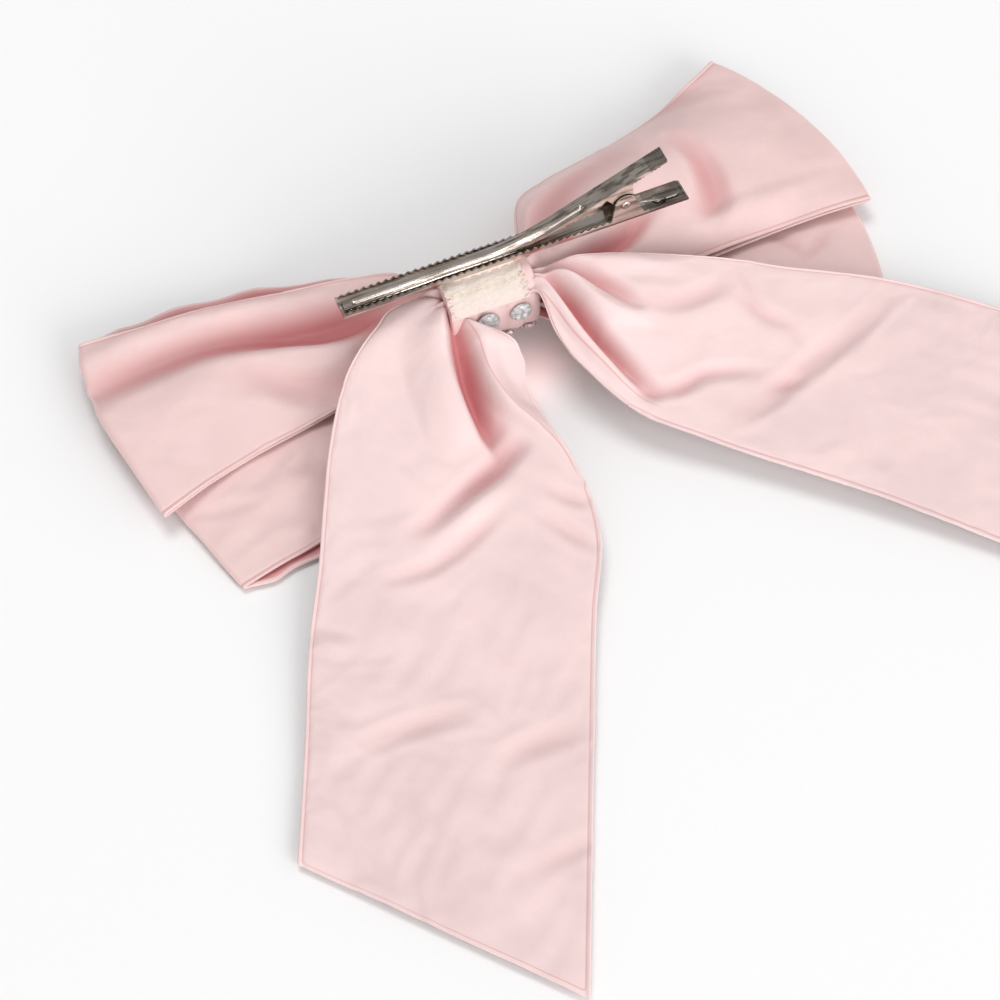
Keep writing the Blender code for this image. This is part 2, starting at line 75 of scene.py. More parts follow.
# Clip, as in the CAD: u runs along the lower jaw from its tip, and w up from it.
CLIP_TIP = (-40.0, 4.5, 30.1)
CLIP_SLOPE_DEG = 1.75
PIVOT_U = 80.6
PIVOT_W = 6.6
UPPER_TIP_U = 1.0
UPPER_TIP_W = 1.4
BEND_START_U = 42.0
BEND_END_U = 62.0
FRONT_RISE = 0.008
BACK_RISE = 0.40
RIB_START_U = 3.0
RIB_END_U = 69.3
PAD_START_U = 89.6
PAD_END_U = 97.4
HANDLE_TOP_W = 0.9
# Length at the upper jaw's end that carries the painted dark reflection.
END_TAB = 5.0
SPRING_RADIUS = 1.6
SPRING_WIRE = 0.3
SPRING_HALF = 1.4
SPRING_TURNS = 3
LOWER_LEG_END = (12.5, -5.45)
UPPER_LEG_END = (9.6, 8.9)

# Fabric.
GRID_STEP = 1.7
HEM = (0.0, 0.45, 0.85, 1.15, 1.45, 2.1, 3.1)
SEAM_AT = 1.15
SEAM_DEPTH = 0.2
SEAM_HIDDEN_TO = 52.0
# Crease depth at which the painted fold shade is full.
FOLD_FULL_DEPTH = 6.5
LEAST_GAP = 1.3
MOST_PUSH = 2.0
RIPPLE_HEIGHT = 0.16
FABRIC_THICKNESS = 0.8
RIBBON_WIDTH = 60.0
TAIL_WIDTH = 72.0

# Cloth simulation.
CLOTH_FRAMES = 16
CLOTH_CAP = 0.55
CLOTH_SETTINGS = {"quality": 6, "mass": 0.05, "tension_stiffness": 30.0, "compression_stiffness": 30.0,
                  "shear_stiffness": 12.0, "bending_stiffness": 0.08, "vertex_group_mass": "hold",
                  "pin_stiffness": 0.6, "shrink_min": -0.004}
HELD_ROWS = 12
LEAST_HOLD = 0.12

# Stones: each ring's share of the radius, level, number of corners and turn.
STONE_RINGS = [(0.80, 0.04, 32, 0.0), (1.0, 0.34, 32, 0.0), (1.0, 0.44, 32, 0.0), (0.86, 0.70, 16, 0.5),
               (0.70, 0.88, 8, 0.0), (0.52, 1.0, 8, 0.5)]

# Floor, in metres.
FLOOR_HALF = 4.0
FLOOR_LEVEL = -0.001

# Camera, in the row frame's millimetres.
CAMERA_TARGET = (-42.8, 14.8, 0.0)
CAMERA_AZIMUTH = -23.0
CAMERA_ELEVATION = 54.0
CAMERA_DISTANCE = 890.0
CAMERA_LENS = 122.4

# The studio's unlit side, which the clip's upper faces mirror.
DARK_SIDE = (-0.10, 0.57, 0.815)

LOOP_SATIN = (0.755, 0.535, 0.52)
TAIL_SATIN = (0.775, 0.585, 0.575)


class Station(NamedTuple):
    """One cross-section of a fabric piece, between edge a, nearer +Y, and edge b."""
    a: tuple
    b: tuple
    low: float
    thick: float
    rim_a: float
    rim_b: float
    tilt: float = 0.0
    bulge: float = 0.0


class Crease(NamedTuple):
    """A crease along a path of places and heights, and how far it reaches to each side."""
    path: list
    left: float
    right: float
    crisp: float = 0.0


# Each piece's cross-sections, from the knot outwards, as the fields of Station.
BACK_LEFT = [
    ((-8, 9), (-8, -2), 19.4, 5.6, 3, 3),
    ((-13.5, 11), (-13.5, -3.6), 19.2, 6.6, 3, 3),
    ((-19, 18.5), (-20.5, -4.5), 17.2, 5.2, 2.2, 2),
    ((-28, 25), (-30, -7), 12.3, 6, 2.4, 1.8),
    ((-43, 31), (-46, -9.5), 7, 6.6, 2.8, 1.7),
    ((-69, 35), (-73, -14.5), 5.3, 7, 3.4, 1.7),
    ((-86, 35.8), (-87, -18.5), 5.3, 5.6, 3.4, 1.7, 0, -2),
    ((-101.3, 37.6), (-99.6, -23.3), 5.3, 3.6, 3.2, 1.7, 0, -4.2),
]

BACK_RIGHT = [
    ((8, 9), (8, -2), 19.4, 5.6, 3, 3),
    ((13.5, 11), (13.5, -3.6), 19.2, 6.6, 3, 3),
    ((17.5, 21), (20, -3.8), 16.6, 7, 2.4, 2.4),
    ((22, 32), (27, -4.6), 12.4, 10.5, 3, 2.4),
    ((33, 40), (39, -3.6), 7.6, 14.5, 3.4, 2),
    ((53, 45.5), (56, -0.5), 5.3, 16, 4, 1.8),
    ((74, 53.5), (82, 1.5), 5.3, 12.5, 3.4, 1.8),
    ((88, 60.5), (101, 2.4), 5.3, 6.5, 2.6, 1.8, 0, 2.5),
    ((96.5, 65.5), (115.5, 2.2), 5.3, 3.4, 2.4, 1.8, 0, 4.5),
]

FRONT_LEFT = [
    ((-8, 9), (-8, -2.6), 11.6, 5.6, 3, 3),
    ((-13.5, 10.4), (-13.5, -3.6), 11.2, 6.8, 3, 3),
    ((-18.5, 11), (-18.5, -7), 9.8, 5.6, 2.6, 2.6),
    ((-28, 11.5), (-26, -15), 4.6, 5.2, 2.4, 2.4),
    ((-44, 12), (-40, -30), 0, 4.7, 2, 2.4),
    ((-66, 12), (-62, -43), 0, 4.7, 2, 2.4),
    ((-86, 10), (-77, -46.6), 0, 4.6, 2, 2.2),
    ((-100, 8), (-87.6, -49), 0, 3, 2, 1.8, 0, -0.6),
]

FRONT_RIGHT = [
    ((8, 9), (8, -2.6), 11.6, 5.6, 3, 3),
    ((13.5, 10.4), (13.5, -3.6), 11.2, 6.8, 3, 3),
    ((18.5, 11.5), (18.5, -7), 9, 5.6, 2.6, 2.6),
    ((28, 13), (26, -13), 4.4, 5.2, 2.4, 2.4),
    ((44, 13), (42, -25), 0, 4.7, 2, 2),
    ((68, 13), (66, -37), 0, 4.7, 2, 2),
    ((92, 12), (84, -43), 0, 4.6, 2, 1.8),
    ((112, 10), (97, -46.5), 0, 3, 2, 1.8, 0, 3),
]

TAIL_LEFT = [
    ((-10.5, 1), (-9.5, -4.8), 22.4, 2.2, 1.4, 1.4),
    ((-16, 3), (-8, -6.6), 22.8, 3, 2, 1.8, 0.6, -1),
    ((-22.6, 4.6), (-1.5, -11.5), 21.2, 3.6, 2, 1.6, 1.6, -4),
    ((-31, 1.2), (2.3, -17.8), 18.2, 4, 2, 1.6, 4.6, -2.5),
    ((-40, -4.2), (0.9, -25), 14.6, 4.4, 1.8, 1.6, 5.2),
    ((-46.5, -11), (1.4, -36), 12, 4.4, 1.8, 1.6, 4.3),
    ((-55, -24.2), (3.2, -47), 9.2, 4, 1.6, 1.6, 2.5),
    ((-62, -38), (3.5, -59.8), 6.9, 3.4, 1.6, 1.6, 1),
    ((-68.6, -51.7), (1.2, -72.5), 4.9, 2.8, 1.6, 1.6),
    ((-79, -71.5), (-9, -93), 2.4, 2.6, 1.6, 1.6),
    ((-91, -99), (-27.5, -133), 0.6, 2.4, 1.6, 1.6),
    ((-105, -130.5), (-54.5, -191.7), 0, 2.2, 1.6, 1.6),
]

TAIL_RIGHT = [
    ((10, 1), (9, -4.8), 23, 2.2, 1.4, 1.4),
    ((17.8, 0.6), (11.8, -6.8), 24, 3, 2, 2, 1),
    ((31, -1.6), (12.6, -17.5), 21, 4.4, 2, 1.8, 4),
    ((62, -10), (16.4, -30), 16.4, 4.8, 1.8, 1.8, 3.6),
    ((81, -18), (23.6, -43), 12.2, 4, 1.8, 1.8, 3.6),
    ((105, -28.5), (40, -59), 8.6, 3, 1.6, 1.6, 2.5),
    ((131, -47.5), (71, -88.5), 5.6, 2.6, 1.6, 1.6, 0.4),
    ((159, -72), (127.5, -148.5), 0, 2.2, 1.6, 1.6),
]

# Each piece's folds, as the fields of Crease; a point is x, y and height.
BACK_LEFT_CREASES = [
    ([(-22, 8.5, -4), (-34, 12.5, -7.5), (-48, 18, -7.5), (-63, 22, -6), (-75, 23.5, -5), (-86, 23, -4.2),
      (-97, 22, -3.4), (-107, 20.5, -1.8)], 9, 12, 0.1),
    ([(-30, 18, 0), (-45, 24, 1.8), (-59, 28, 2.4), (-81, 30, 2.2), (-101, 29, 0.9)], 7, 7),
    ([(-28, 3, -2.2), (-41, -3, -2.2), (-54, 0, -1.8), (-63, 6, -1), (-74, 9, 0)], 8, 7),
]

BACK_RIGHT_CREASES = [
    ([(68, 39, 0), (73, 31, -2.4), (74, 22, -3.8), (72, 13, -3.4), (64, 8, 0)], 8, 6),
    ([(60, 41, 0), (50, 36, -2), (38, 31, -3), (27, 23, -3), (20, 14, -1.5)], 9, 6),
    ([(15, -2, -4), (24, 2.4, -7.5), (34, 6.5, -8), (44, 9.5, -6.5), (52, 14, -3.5), (59, 21, 0)],
      3.6, 6, 0.5),
    ([(30, 0, 0), (50, 2, 1.6), (66, 5, 2.2), (85, 8, 1.8), (108, 11, 0)], 6, 6),
    ([(57, 50, -1), (76, 54, -1.6), (94, 59, 0)], 3, 7),
]

FRONT_LEFT_CREASES = [
    ([(-45, -12, 0), (-58, -20, 0.9), (-76, -30, 0)], 8, 8),
    ([(-54, -17, 0), (-60, -21, -1.2), (-66, -22, 0)], 4, 4),
]

FRONT_RIGHT_CREASES = [
    ([(84, 8, 0), (90, -1, -1.1), (93, -10, 0)], 3, 4),
    ([(102, 2, 0), (97, -4, -1), (90, -8, 0)], 3, 3),
]

TAIL_LEFT_CREASES = [
    ([(-14.5, -3, 1.6), (-16.8, -11, 3.2), (-18.2, -20, 3.6), (-18.8, -30, 2.6), (-19, -40, 0)], 2.6, 13),
    ([(-12, -3, -4), (-13.4, -10, -8), (-14.8, -19, -9), (-15.4, -28, -7.5), (-15.4, -36, -5),
      (-14, -44, 0)], 8.5, 2.6, 0.4),
    ([(-10, -5, 1.4), (-8.6, -12, 3), (-8.8, -20.5, 4), (-6.5, -31.5, 3.6), (-2.2, -38.6, 2.4),
      (1.2, -46, 1.2), (3, -56, 0)], 6, 3, 0.3),
    ([(-9, -41, -2), (-17, -45, -4.4), (-27, -49, -3.2), (-37, -53, -1.8), (-47, -55, 0)], 5, 4, 0.3),
    ([(-12, -50, 0), (-24, -54, 1.8), (-38, -58, 0)], 4, 5),
    ([(-17, -55, 0), (-30, -61, -1.4), (-43, -65, -1.2), (-58, -64, 0)], 4, 4, 0.3),
    ([(-8, -54, 0), (-1, -61, -1.1), (3, -63, 0)], 3, 3),
    ([(-12, -61, 0), (-6, -70, -1.1), (-1, -77, 0)], 4, 3),
    ([(-80, -106, 0), (-63, -106, -0.9), (-48, -108, 0)], 5, 5),
    ([(-51, -123, 0), (-37, -122, -0.9), (-23, -121, 0)], 5, 6),
    ([(-54, -155, 0), (-43, -153, -0.8), (-35, -152, 0)], 4, 4),
    ([(-79, -72, 0), (-74, -77, 1), (-70, -80, 0)], 5, 4),
]

# Where each tail's sewn edge is rolled up onto the top, close to the knot.
TAIL_LEFT_SEAM = [(-9.4, -4), (-7.8, -12), (-8, -20.5), (-5.7, -31.5), (-1.4, -38.6), (1.6, -46),
                  (2.6, -56)]
TAIL_RIGHT_SEAM = [(12, -6), (13.6, -11), (16.6, -21), (20.6, -29.5), (25, -38), (31, -45.5)]

TAIL_RIGHT_CREASES = [
    ([(15.5, -1, -3), (18, -8, -7), (20.8, -17, -7.5), (24.4, -27, -6), (28, -35.5, -4), (32, -43, 0)],
      4.2, 3, 0.45),
    ([(13, -3, 1), (15, -11, 2.6), (18, -21, 2.8), (22, -30, 2), (27, -40, 0)], 3, 3),
    ([(30, -39, -1.5), (37, -40.4, -2.6), (45, -39.6, -2.2), (56, -42, -1.2), (65, -46, 0)], 2.6, 5, 0.5),
    ([(17, 1, -2), (25, -4.5, -5), (31, -11, -4), (37, -20, 0)], 3.6, 3.4, 0.3),
    ([(16, 0, 1), (21, -7, 2.6), (27, -16, 2.6), (40, -25, 0)], 4, 3.4),
    ([(19, 0, 0.8), (36, -5, 2), (58, -12, 0)], 5, 5),
    ([(34, -16, 0), (47, -20, -1.4), (58, -19, -1.1), (65, -17, 0)], 4, 4),
    ([(67, -11, 0), (67, -21, -1.2), (67, -28, 0)], 3, 3, 0.5),
    ([(62, -18, 0), (67, -28, -1.5), (73, -34, -1.1), (74, -43, 0)], 3, 4, 0.5),
    ([(58, -49, 0), (64, -49, -1.1), (71, -51, 0)], 3, 3),
    ([(108, -32, 0), (91, -40, -0.9), (70, -48, -1.3), (59, -52, -1), (41, -54, 0)], 5, 5),
]


# Frame and small helpers.

def knot_origin():
    low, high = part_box("knot_wrap")
    return np.array([(low[0] + high[0]) / 2, (low[1] + high[1]) / 2 - KNOT_MID_Y * MM, 0.0])


KNOT = knot_origin()


def in_row(points):
    """Knot-frame millimetres to row-frame metres."""
    return np.asarray(points, float) * MM + KNOT


def at(point):
    return tuple(in_row(point))


def interpolate(keys, values, places):
    """Smooth curve through values at keys, read at the given places."""
    keys = np.asarray(keys, float)
    values = np.asarray(values, float)
    slopes = np.gradient(values, keys, axis=0)
    k = np.clip(np.searchsorted(keys, places, side="right") - 1, 0, len(keys) - 2)
    span = keys[k + 1] - keys[k]
    t = (places - keys[k]) / span
    if values.ndim > 1:
        t = t[:, None]
        span = span[:, None]
    rise = values[k + 1] - values[k]
    ease = t * t * (3 - 2 * t)
    start = t * (1 - t) ** 2 * span
    stop = t * t * (t - 1) * span
    return values[k] + rise * ease + slopes[k] * start + slopes[k + 1] * stop


def chord_lengths(points):
    steps = norm(np.diff(points, axis=0), axis=1)
    return np.concatenate([[0.0], np.cumsum(steps)])


def smooth_line(points, step):
    """Evenly spaced points on a smooth curve through the given ones."""
    points = np.asarray(points, float)
    keys = chord_lengths(points)
    count = max(2, round(keys[-1] / step))
    return interpolate(keys, points, np.linspace(0, keys[-1], count + 1))


def link(name, data, material=None):
    made = bpy.data.objects.new(name, data)
    bpy.context.scene.collection.objects.link(made)
    if material is not None:
        data.materials.clear()
        data.materials.append(material)
    return made


def shape_mesh(name, shape):
    mesh = bpy.data.meshes.new(name)
    shape.to_mesh(mesh)
    shape.free()
    return mesh


def quad_faces(rows, cols, row_wraps=False, col_wraps=False):
    """Faces between neighbouring rows and columns of points, which may wrap round."""
    faces = []
    for i in range(rows if row_wraps else rows - 1):
        here = i * cols
        there = ((i + 1) % rows) * cols
        for j in range(cols if col_wraps else cols - 1):
            k = (j + 1) % cols
            faces.append((here + j, here + k, there + k, there + j))
    return faces


def grid_object(name, grid, material, threads=None, closed=False, **marks):
    """A quad mesh from rows of knot-frame points, with cloth coordinates and named marks."""
    rows, cols = grid.shape[:2]
    mesh = bpy.data.meshes.new(name)
    mesh.from_pydata(in_row(grid.reshape(-1, 3)).tolist(), [], quad_faces(rows, cols, row_wraps=closed))
    if threads is not None:
        corners = np.empty(len(mesh.loops), dtype=np.int32)
        mesh.loops.foreach_get("vertex_index", corners)
        layer = mesh.uv_layers.new(name="threads")
        layer.data.foreach_set("uv", threads.reshape(-1, 2)[corners].ravel())
    for key, values in marks.items():
        held = mesh.attributes.new(key, "FLOAT", "POINT")
        held.data.foreach_set("value", values.ravel().astype(np.float32))
    mesh.shade_smooth()
    return link(name, mesh, material)


def tube_object(name, path, radius, material, sides):
    """A round thread or wire along a path in the knot's frame, closed at both ends."""
    path = np.asarray(path, float)
    ways = np.gradient(path, axis=0)
    ways /= norm(ways, axis=1)[:, None]
    angles = np.arange(sides)[:, None] * 2 * pi / sides
    slanted = (0.31, 0.22, 0.93)
    side = np.cross(ways[0], slanted)
    rings = []
    for point, way in zip(path, ways):
        side = side - way * np.dot(side, way)
        side /= norm(side)
        up = np.cross(way, side)
        rings.append(point + radius * (np.cos(angles) * side + np.sin(angles) * up))
    count = len(rings) * sides
    faces = quad_faces(len(rings), sides, col_wraps=True)
    faces.append(tuple(range(sides))[::-1])
    faces.append(tuple(range(count - sides, count)))
    mesh = bpy.data.meshes.new(name)
    mesh.from_pydata(in_row(np.concatenate(rings)).tolist(), [], faces)
    mesh.shade_smooth()
    return link(name, mesh, material)


# Materials.

def feed(tree, target, value):
    if isinstance(value, bpy.types.NodeSocket):
        tree.links.new(value, target)
    else:
        target.default_value = value


def set_shader(tree, **sockets):
    """Feed the shader's inputs; an underscore stands for the space in an input's name."""
    shader = tree.nodes["Principled BSDF"]
    for socket, value in sockets.items():
        feed(tree, shader.inputs[socket.replace("_", " ")], value)


def new_material(name, **sockets):
    material = bpy.data.materials.new(name)
    material.use_nodes = True
    set_shader(material.node_tree, **sockets)
    return material, material.node_tree


def add_node(tree, kind, feeds=None, **values):
    """Add a shader node with its properties, and feed its inputs by number or name."""
    node = tree.nodes.new("ShaderNode" + kind)
    for key, value in values.items():
        setattr(node, key, value)
    for socket, value in (feeds or {}).items():
        feed(tree, node.inputs[socket], value)
    return node


def object_place(tree):
    return add_node(tree, "TexCoord").outputs["Object"]


def thread_place(tree):
    return add_node(tree, "UVMap", uv_map="threads").outputs[0]


def attribute(tree, name):
    return add_node(tree, "Attribute", attribute_name=name).outputs["Fac"]


def calc(tree, operation, first, second=0.0):
    return add_node(tree, "Math", {0: first, 1: second}, operation=operation).outputs[0]


def stretched(tree, vector, scale):
    return add_node(tree, "VectorMath", {0: vector, 1: scale}, operation="MULTIPLY").outputs[0]


def noise(tree, vector, scale, detail=2.0):
    feeds = {0: vector, "Scale": scale, "Detail": detail}
    return add_node(tree, "TexNoise", feeds).outputs["Fac"]


def mapped(tree, value, from_low, from_high, to_low=0.0, to_high=1.0):
    feeds = {"Value": value, "From Min": from_low, "From Max": from_high, "To Min": to_low, "To Max": to_high}
    return add_node(tree, "MapRange", feeds).outputs["Result"]


def mix(tree, share, first, second):
    return add_node(tree, "Mix", {0: share, 6: first, 7: second}, data_type="RGBA").outputs[2]


def bump(tree, height, strength, distance, under=None):
    feeds = {"Strength": strength, "Distance": distance, "Height": height}
    if under is not None:
        feeds["Normal"] = under
    return add_node(tree, "Bump", feeds).outputs["Normal"]


def times(colour, red, green, blue):
    return (colour[0] * red, colour[1] * green, colour[2] * blue, 1.0)


def seam_line(tree):
    """The sewn line inside the hem, and where a tail's edge is rolled up onto its top."""
    from_seam = calc(tree, "ABSOLUTE", calc(tree, "SUBTRACT", attribute(tree, "edge_mm"), SEAM_AT))
    from_rolled = calc(tree, "ABSOLUTE", attribute(tree, "seam_mm"))
    rolled = mapped(tree, from_rolled, 0.08, 0.3, 1.0, 0.0)
    rolled = calc(tree, "MULTIPLY", rolled, attribute(tree, "seam_on"))
    return calc(tree, "MAXIMUM", mapped(tree, from_seam, 0.06, 0.24, 1.0, 0.0), rolled)


def satin_material(name, colour):
    """Closely woven satin: fine threads both ways, slight colour drift, a darker seam line, and painted
    shade, darker and deeper pink, in creases and in the gaps at the loops' edges.
    """
    material, tree = new_material(
        name, Roughness=0.44, Sheen_Weight=0.22, Sheen_Roughness=0.35, Sheen_Tint=(1.0, 0.86, 0.85, 1.0),
        Specular_IOR_Level=0.42)
    threads = thread_place(tree)
    weft = noise(tree, stretched(tree, threads, (5.5, 0.35, 1.0)), 1.0)
    warp = noise(tree, stretched(tree, threads, (0.35, 6.5, 1.0)), 1.0)
    weave = calc(tree, "ADD", weft, warp)
    cloud = mapped(tree, noise(tree, threads, 0.045, 3.0), 0.3, 0.7)
    seam = seam_line(tree)
    base = mix(tree, cloud, times(colour, 0.93, 0.93, 0.93), times(colour, 1.05, 1.05, 1.05))
    base = mix(tree, mapped(tree, weave, 0.75, 1.25, 0.0, 0.10), base, (1.0, 0.86, 0.84, 1.0))
    # Painted fold shade: deep in creases and in the loops' edge gaps the colour turns darker and deeper pink.
    base = mix(tree, attribute(tree, "fold"), base, times(colour, 0.72, 0.33, 0.35))
    base = mix(tree, calc(tree, "MULTIPLY", seam, 0.7), base, times(colour, 0.85, 0.55, 0.54))
    fine = bump(tree, weave, 0.16, 0.0002)
    drift = bump(tree, noise(tree, threads, 0.12), 0.12, 0.0010, fine)
    set_shader(tree, Base_Color=base, Roughness=mapped(tree, weave, 0.7, 1.3, 0.40, 0.56),
               Normal=bump(tree, seam, -0.35, 0.0003, drift))
    return material


def steel_material():
    """Nickel-plated pressed steel: grey-brown, streaked along its length, and with a painted dark reflection,
    blotchy, over the upper jaw's end.
    """
    material, tree = new_material("nickel_steel", Metallic=1.0, Roughness=0.2)
    where = object_place(tree)
    streaks = noise(tree, stretched(tree, where, (45.0, 900.0, 500.0)), 1.0, 3.0)
    blotch = noise(tree, where, 120.0, 3.0)
    scratches = noise(tree, stretched(tree, where, (300.0, 6000.0, 3000.0)), 1.0)
    base = mix(tree, mapped(tree, blotch, 0.35, 0.7),
                      (0.74, 0.66, 0.60, 1.0), (0.55, 0.47, 0.41, 1.0))
    base = mix(tree, mapped(tree, streaks, 0.47, 0.60, 0.0, 0.85), base, (0.16, 0.13, 0.11, 1.0))
    # Painted dark reflection: steel within END_TAB of the upper jaw's end is darkened, in blotches.
    tab_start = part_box("upper_jaw")[1][0] - END_TAB * MM
    across = add_node(tree, "SeparateXYZ", {0: where}).outputs["X"]
    painted_dark_reflection = mapped(tree, across, tab_start, tab_start + 0.3 * MM)
    base = mix(tree, calc(tree, "MULTIPLY", painted_dark_reflection, blotch), base, (0.12, 0.10, 0.09, 1.0))
    lines = bump(tree, scratches, 0.12, 0.00005)
    set_shader(tree, Base_Color=base, Roughness=mapped(tree, streaks, 0.3, 0.7, 0.13, 0.30),
               Normal=bump(tree, blotch, 0.08, 0.0003, lines))
    return material


def thread_material():
    material, tree = new_material("sewing_thread", Roughness=0.6, Sheen_Weight=0.4)
    twist = noise(tree, stretched(tree, object_place(tree), (2500.0, 2500.0, 900.0)), 1.0)
    base = mix(tree, twist, (0.80, 0.55, 0.52, 1.0), (0.93, 0.74, 0.71, 1.0))
    set_shader(tree, Base_Color=base, Normal=bump(tree, twist, 0.6, 0.0001))
    return material


def label_material():
    """Cream woven tape with a faint woven row of small gold lozenges, and no lettering."""
    material, tree = new_material("woven_tape", Roughness=0.75, Sheen_Weight=0.35)
    threads = thread_place(tree)
    ribs = noise(tree, stretched(tree, threads, (0.8, 9.0, 1.0)), 1.0)
    warp = noise(tree, stretched(tree, threads, (9.0, 0.8, 1.0)), 1.0)
    weave = calc(tree, "ADD", ribs, warp)
    split = add_node(tree, "SeparateXYZ", {0: threads}).outputs
    along = calc(tree, "PINGPONG", split["X"], 1.25)
    across = calc(tree, "ABSOLUTE", calc(tree, "SUBTRACT", split["Y"], 4.6))
    lozenge = mapped(tree, calc(tree, "ADD", along, across), 0.7, 1.1, 1.0, 0.0)
    broken = mapped(tree, noise(tree, threads, 2.2, 3.0), 0.40, 0.58, 0.0, 0.8)
    base = mix(tree, mapped(tree, weave, 0.7, 1.3),
                      (0.68, 0.57, 0.50, 1.0), (0.83, 0.74, 0.67, 1.0))
    base = mix(tree, mapped(tree, split["Y"], 6.0, 11.5, 0.0, 0.45), base, (0.86, 0.68, 0.66, 1.0))
    base = mix(tree, calc(tree, "MULTIPLY", lozenge, broken), base, (0.72, 0.52, 0.30, 1.0))
    crumple = noise(tree, stretched(tree, threads, (0.35, 0.8, 1.0)), 1.0, 3.0)
    set_shader(tree, Base_Color=base, Normal=bump(tree, weave, 0.5, 0.0003, bump(tree, crumple, 0.5, 0.0012)))
    return material


def glue_material():
    material, tree = new_material("hot_glue", Roughness=0.28, Subsurface_Weight=0.4, Subsurface_Scale=0.002)
    milk = noise(tree, object_place(tree), 380.0, 3.0)
    base = mix(tree, milk, (0.80, 0.60, 0.55, 1.0), (0.92, 0.78, 0.73, 1.0))
    set_shader(tree, Base_Color=base, Normal=bump(tree, milk, 0.5, 0.0006))
    return material


def crystal_material():
    material, tree = new_material("cut_crystal", Roughness=0.02, Transmission_Weight=0.75, IOR=1.5,
                                  Coat_Weight=0.6)
    tint = noise(tree, object_place(tree), 260.0)
    set_shader(tree, Base_Color=mix(tree, tint, (0.90, 0.90, 0.92, 1.0), (0.99, 0.99, 1.0, 1.0)))
    return material


def foil_material():
    material, tree = new_material("stone_foil", Metallic=0.15, Roughness=0.15)
    feeds = {0: object_place(tree), "Scale": 900.0}
    cells = add_node(tree, "TexVoronoi", feeds).outputs["Distance"]
    # Painted glints: bright and dark cells painted into the foil's colour give the stones their sparkle.
    glint = mapped(tree, cells, 0.45, 0.65)
    base = mix(tree, glint, (1.0, 0.98, 0.97, 1.0), (0.35, 0.31, 0.31, 1.0))
    set_shader(tree, Base_Color=base, Normal=bump(tree, cells, 0.6, 0.0006))
    return material


def floor_material():
    material, tree = new_material("studio_paper", Roughness=0.9, Specular_IOR_Level=0.1)
    tooth = noise(tree, object_place(tree), 900.0)
    set_shader(tree, Base_Color=mix(tree, tooth, (0.88, 0.88, 0.88, 1.0), (0.90, 0.90, 0.90, 1.0)))
    return material


# Fabric shapes.

def station_rows(stations):
    """Cross-sections at even steps along a piece, smoothly between the given stations."""
    table = np.array([[*s.a, *s.b, *s[2:]] for s in (Station(*row) for row in stations)], float)
    keys = chord_lengths((table[:, 0:2] + table[:, 2:4]) / 2)
    count = max(6, round(keys[-1] / GRID_STEP))
    along = np.linspace(0, keys[-1], count + 1)
    return along, interpolate(keys, table, along)


def hem_columns(width):
    """Places across a strip, in millimetres from edge a, close together at both hems."""
    inner_from = HEM[-1]
    inner_to = width - HEM[-1]
    count = round((inner_to - inner_from) / GRID_STEP)
    inner = np.linspace(inner_from, inner_to, count + 1)[1:-1]
    far = [width - place for place in reversed(HEM)]
    return np.concatenate([HEM, inner, far])


def strip_surface(rows, share, upper, peak=0.5):
    """Upper or under surface of a strip, as rows of points.  Peak is where its end stands out most, and a
    peak away from the middle is a corner rather than a round."""
    a = rows[:, None, 0:2]
    b = rows[:, None, 2:4]
    low, thick, rim_a, rim_b, tilt, bulge = (rows[:, None, k] for k in range(4, 10))
    across = b - a
    length = norm(across, axis=2, keepdims=True)
    outward = np.concatenate([across[..., 1:2], -across[..., 0:1]], axis=2) / length
    crown = 1 - (2 * share[None, :] - 1) ** 2
    tent = np.minimum(share / peak, (1 - share) / (1 - peak))[None, :]
    stand = tent * (2 - tent) if peak == 0.5 else tent
    plan = a + across * share[None, :, None] - outward * (bulge * stand)[..., None]
    height = low + tilt * (0.5 - share[None, :])
    if upper:
        rim = rim_a + (rim_b - rim_a) * share[None, :]
        height = height + rim + (thick - (rim_a + rim_b) / 2) * crown
    return np.concatenate([plan, height[..., None]], axis=2)


def nearest_on(plan, line):
    """For each plan point: its distance from a line, the side it lies on, and the line's own value there."""
    starts = line[:-1, :2]
    steps = line[1:, :2] - starts
    lengths = (steps ** 2).sum(axis=1)
    offset = plan[:, None, :] - starts[None]
    t = np.clip((offset * steps[None]).sum(axis=2) / lengths, 0, 1)
    miss = offset - t[..., None] * steps[None]
    distance = np.sqrt((miss ** 2).sum(axis=2))
    nearest = distance.argmin(axis=1)
    pick = np.arange(len(plan))
    step = steps[nearest]
    away = miss[pick, nearest]
    side = step[:, 0] * away[:, 1] - step[:, 1] * away[:, 0]
    value = line[nearest, 2] + t[pick, nearest] * (line[nearest + 1, 2] - line[nearest, 2])
    return distance[pick, nearest], side, value


def crease_height(plan, crease):
    """What one crease adds to the height at each plan point."""
    distance, side, rise = nearest_on(plan, smooth_line(crease.path, 1.5))
    width = np.where(side > 0, crease.left, crease.right)
    u = np.clip(distance / width, 0, 1)
    soft = (1 - u * u) ** 2
    sharp = (1 - u) ** 2
    return rise * (soft * (1 - crease.crisp) + sharp * crease.crisp)


def add_creases(surface, creases):
    """Add the creases to a surface, and give back how deep in a crease each point lies, from 0 to 1, which
    sets the painted fold shade.
    """
    flat = surface.reshape(-1, 3)
    plan = flat[:, :2].copy()
    total = np.zeros(len(flat))
    for crease in creases:
        total += crease_height(plan, Crease(*crease))
    flat[:, 2] += total
    return np.clip(-total / FOLD_FULL_DEPTH, 0, 1).reshape(surface.shape[:2])


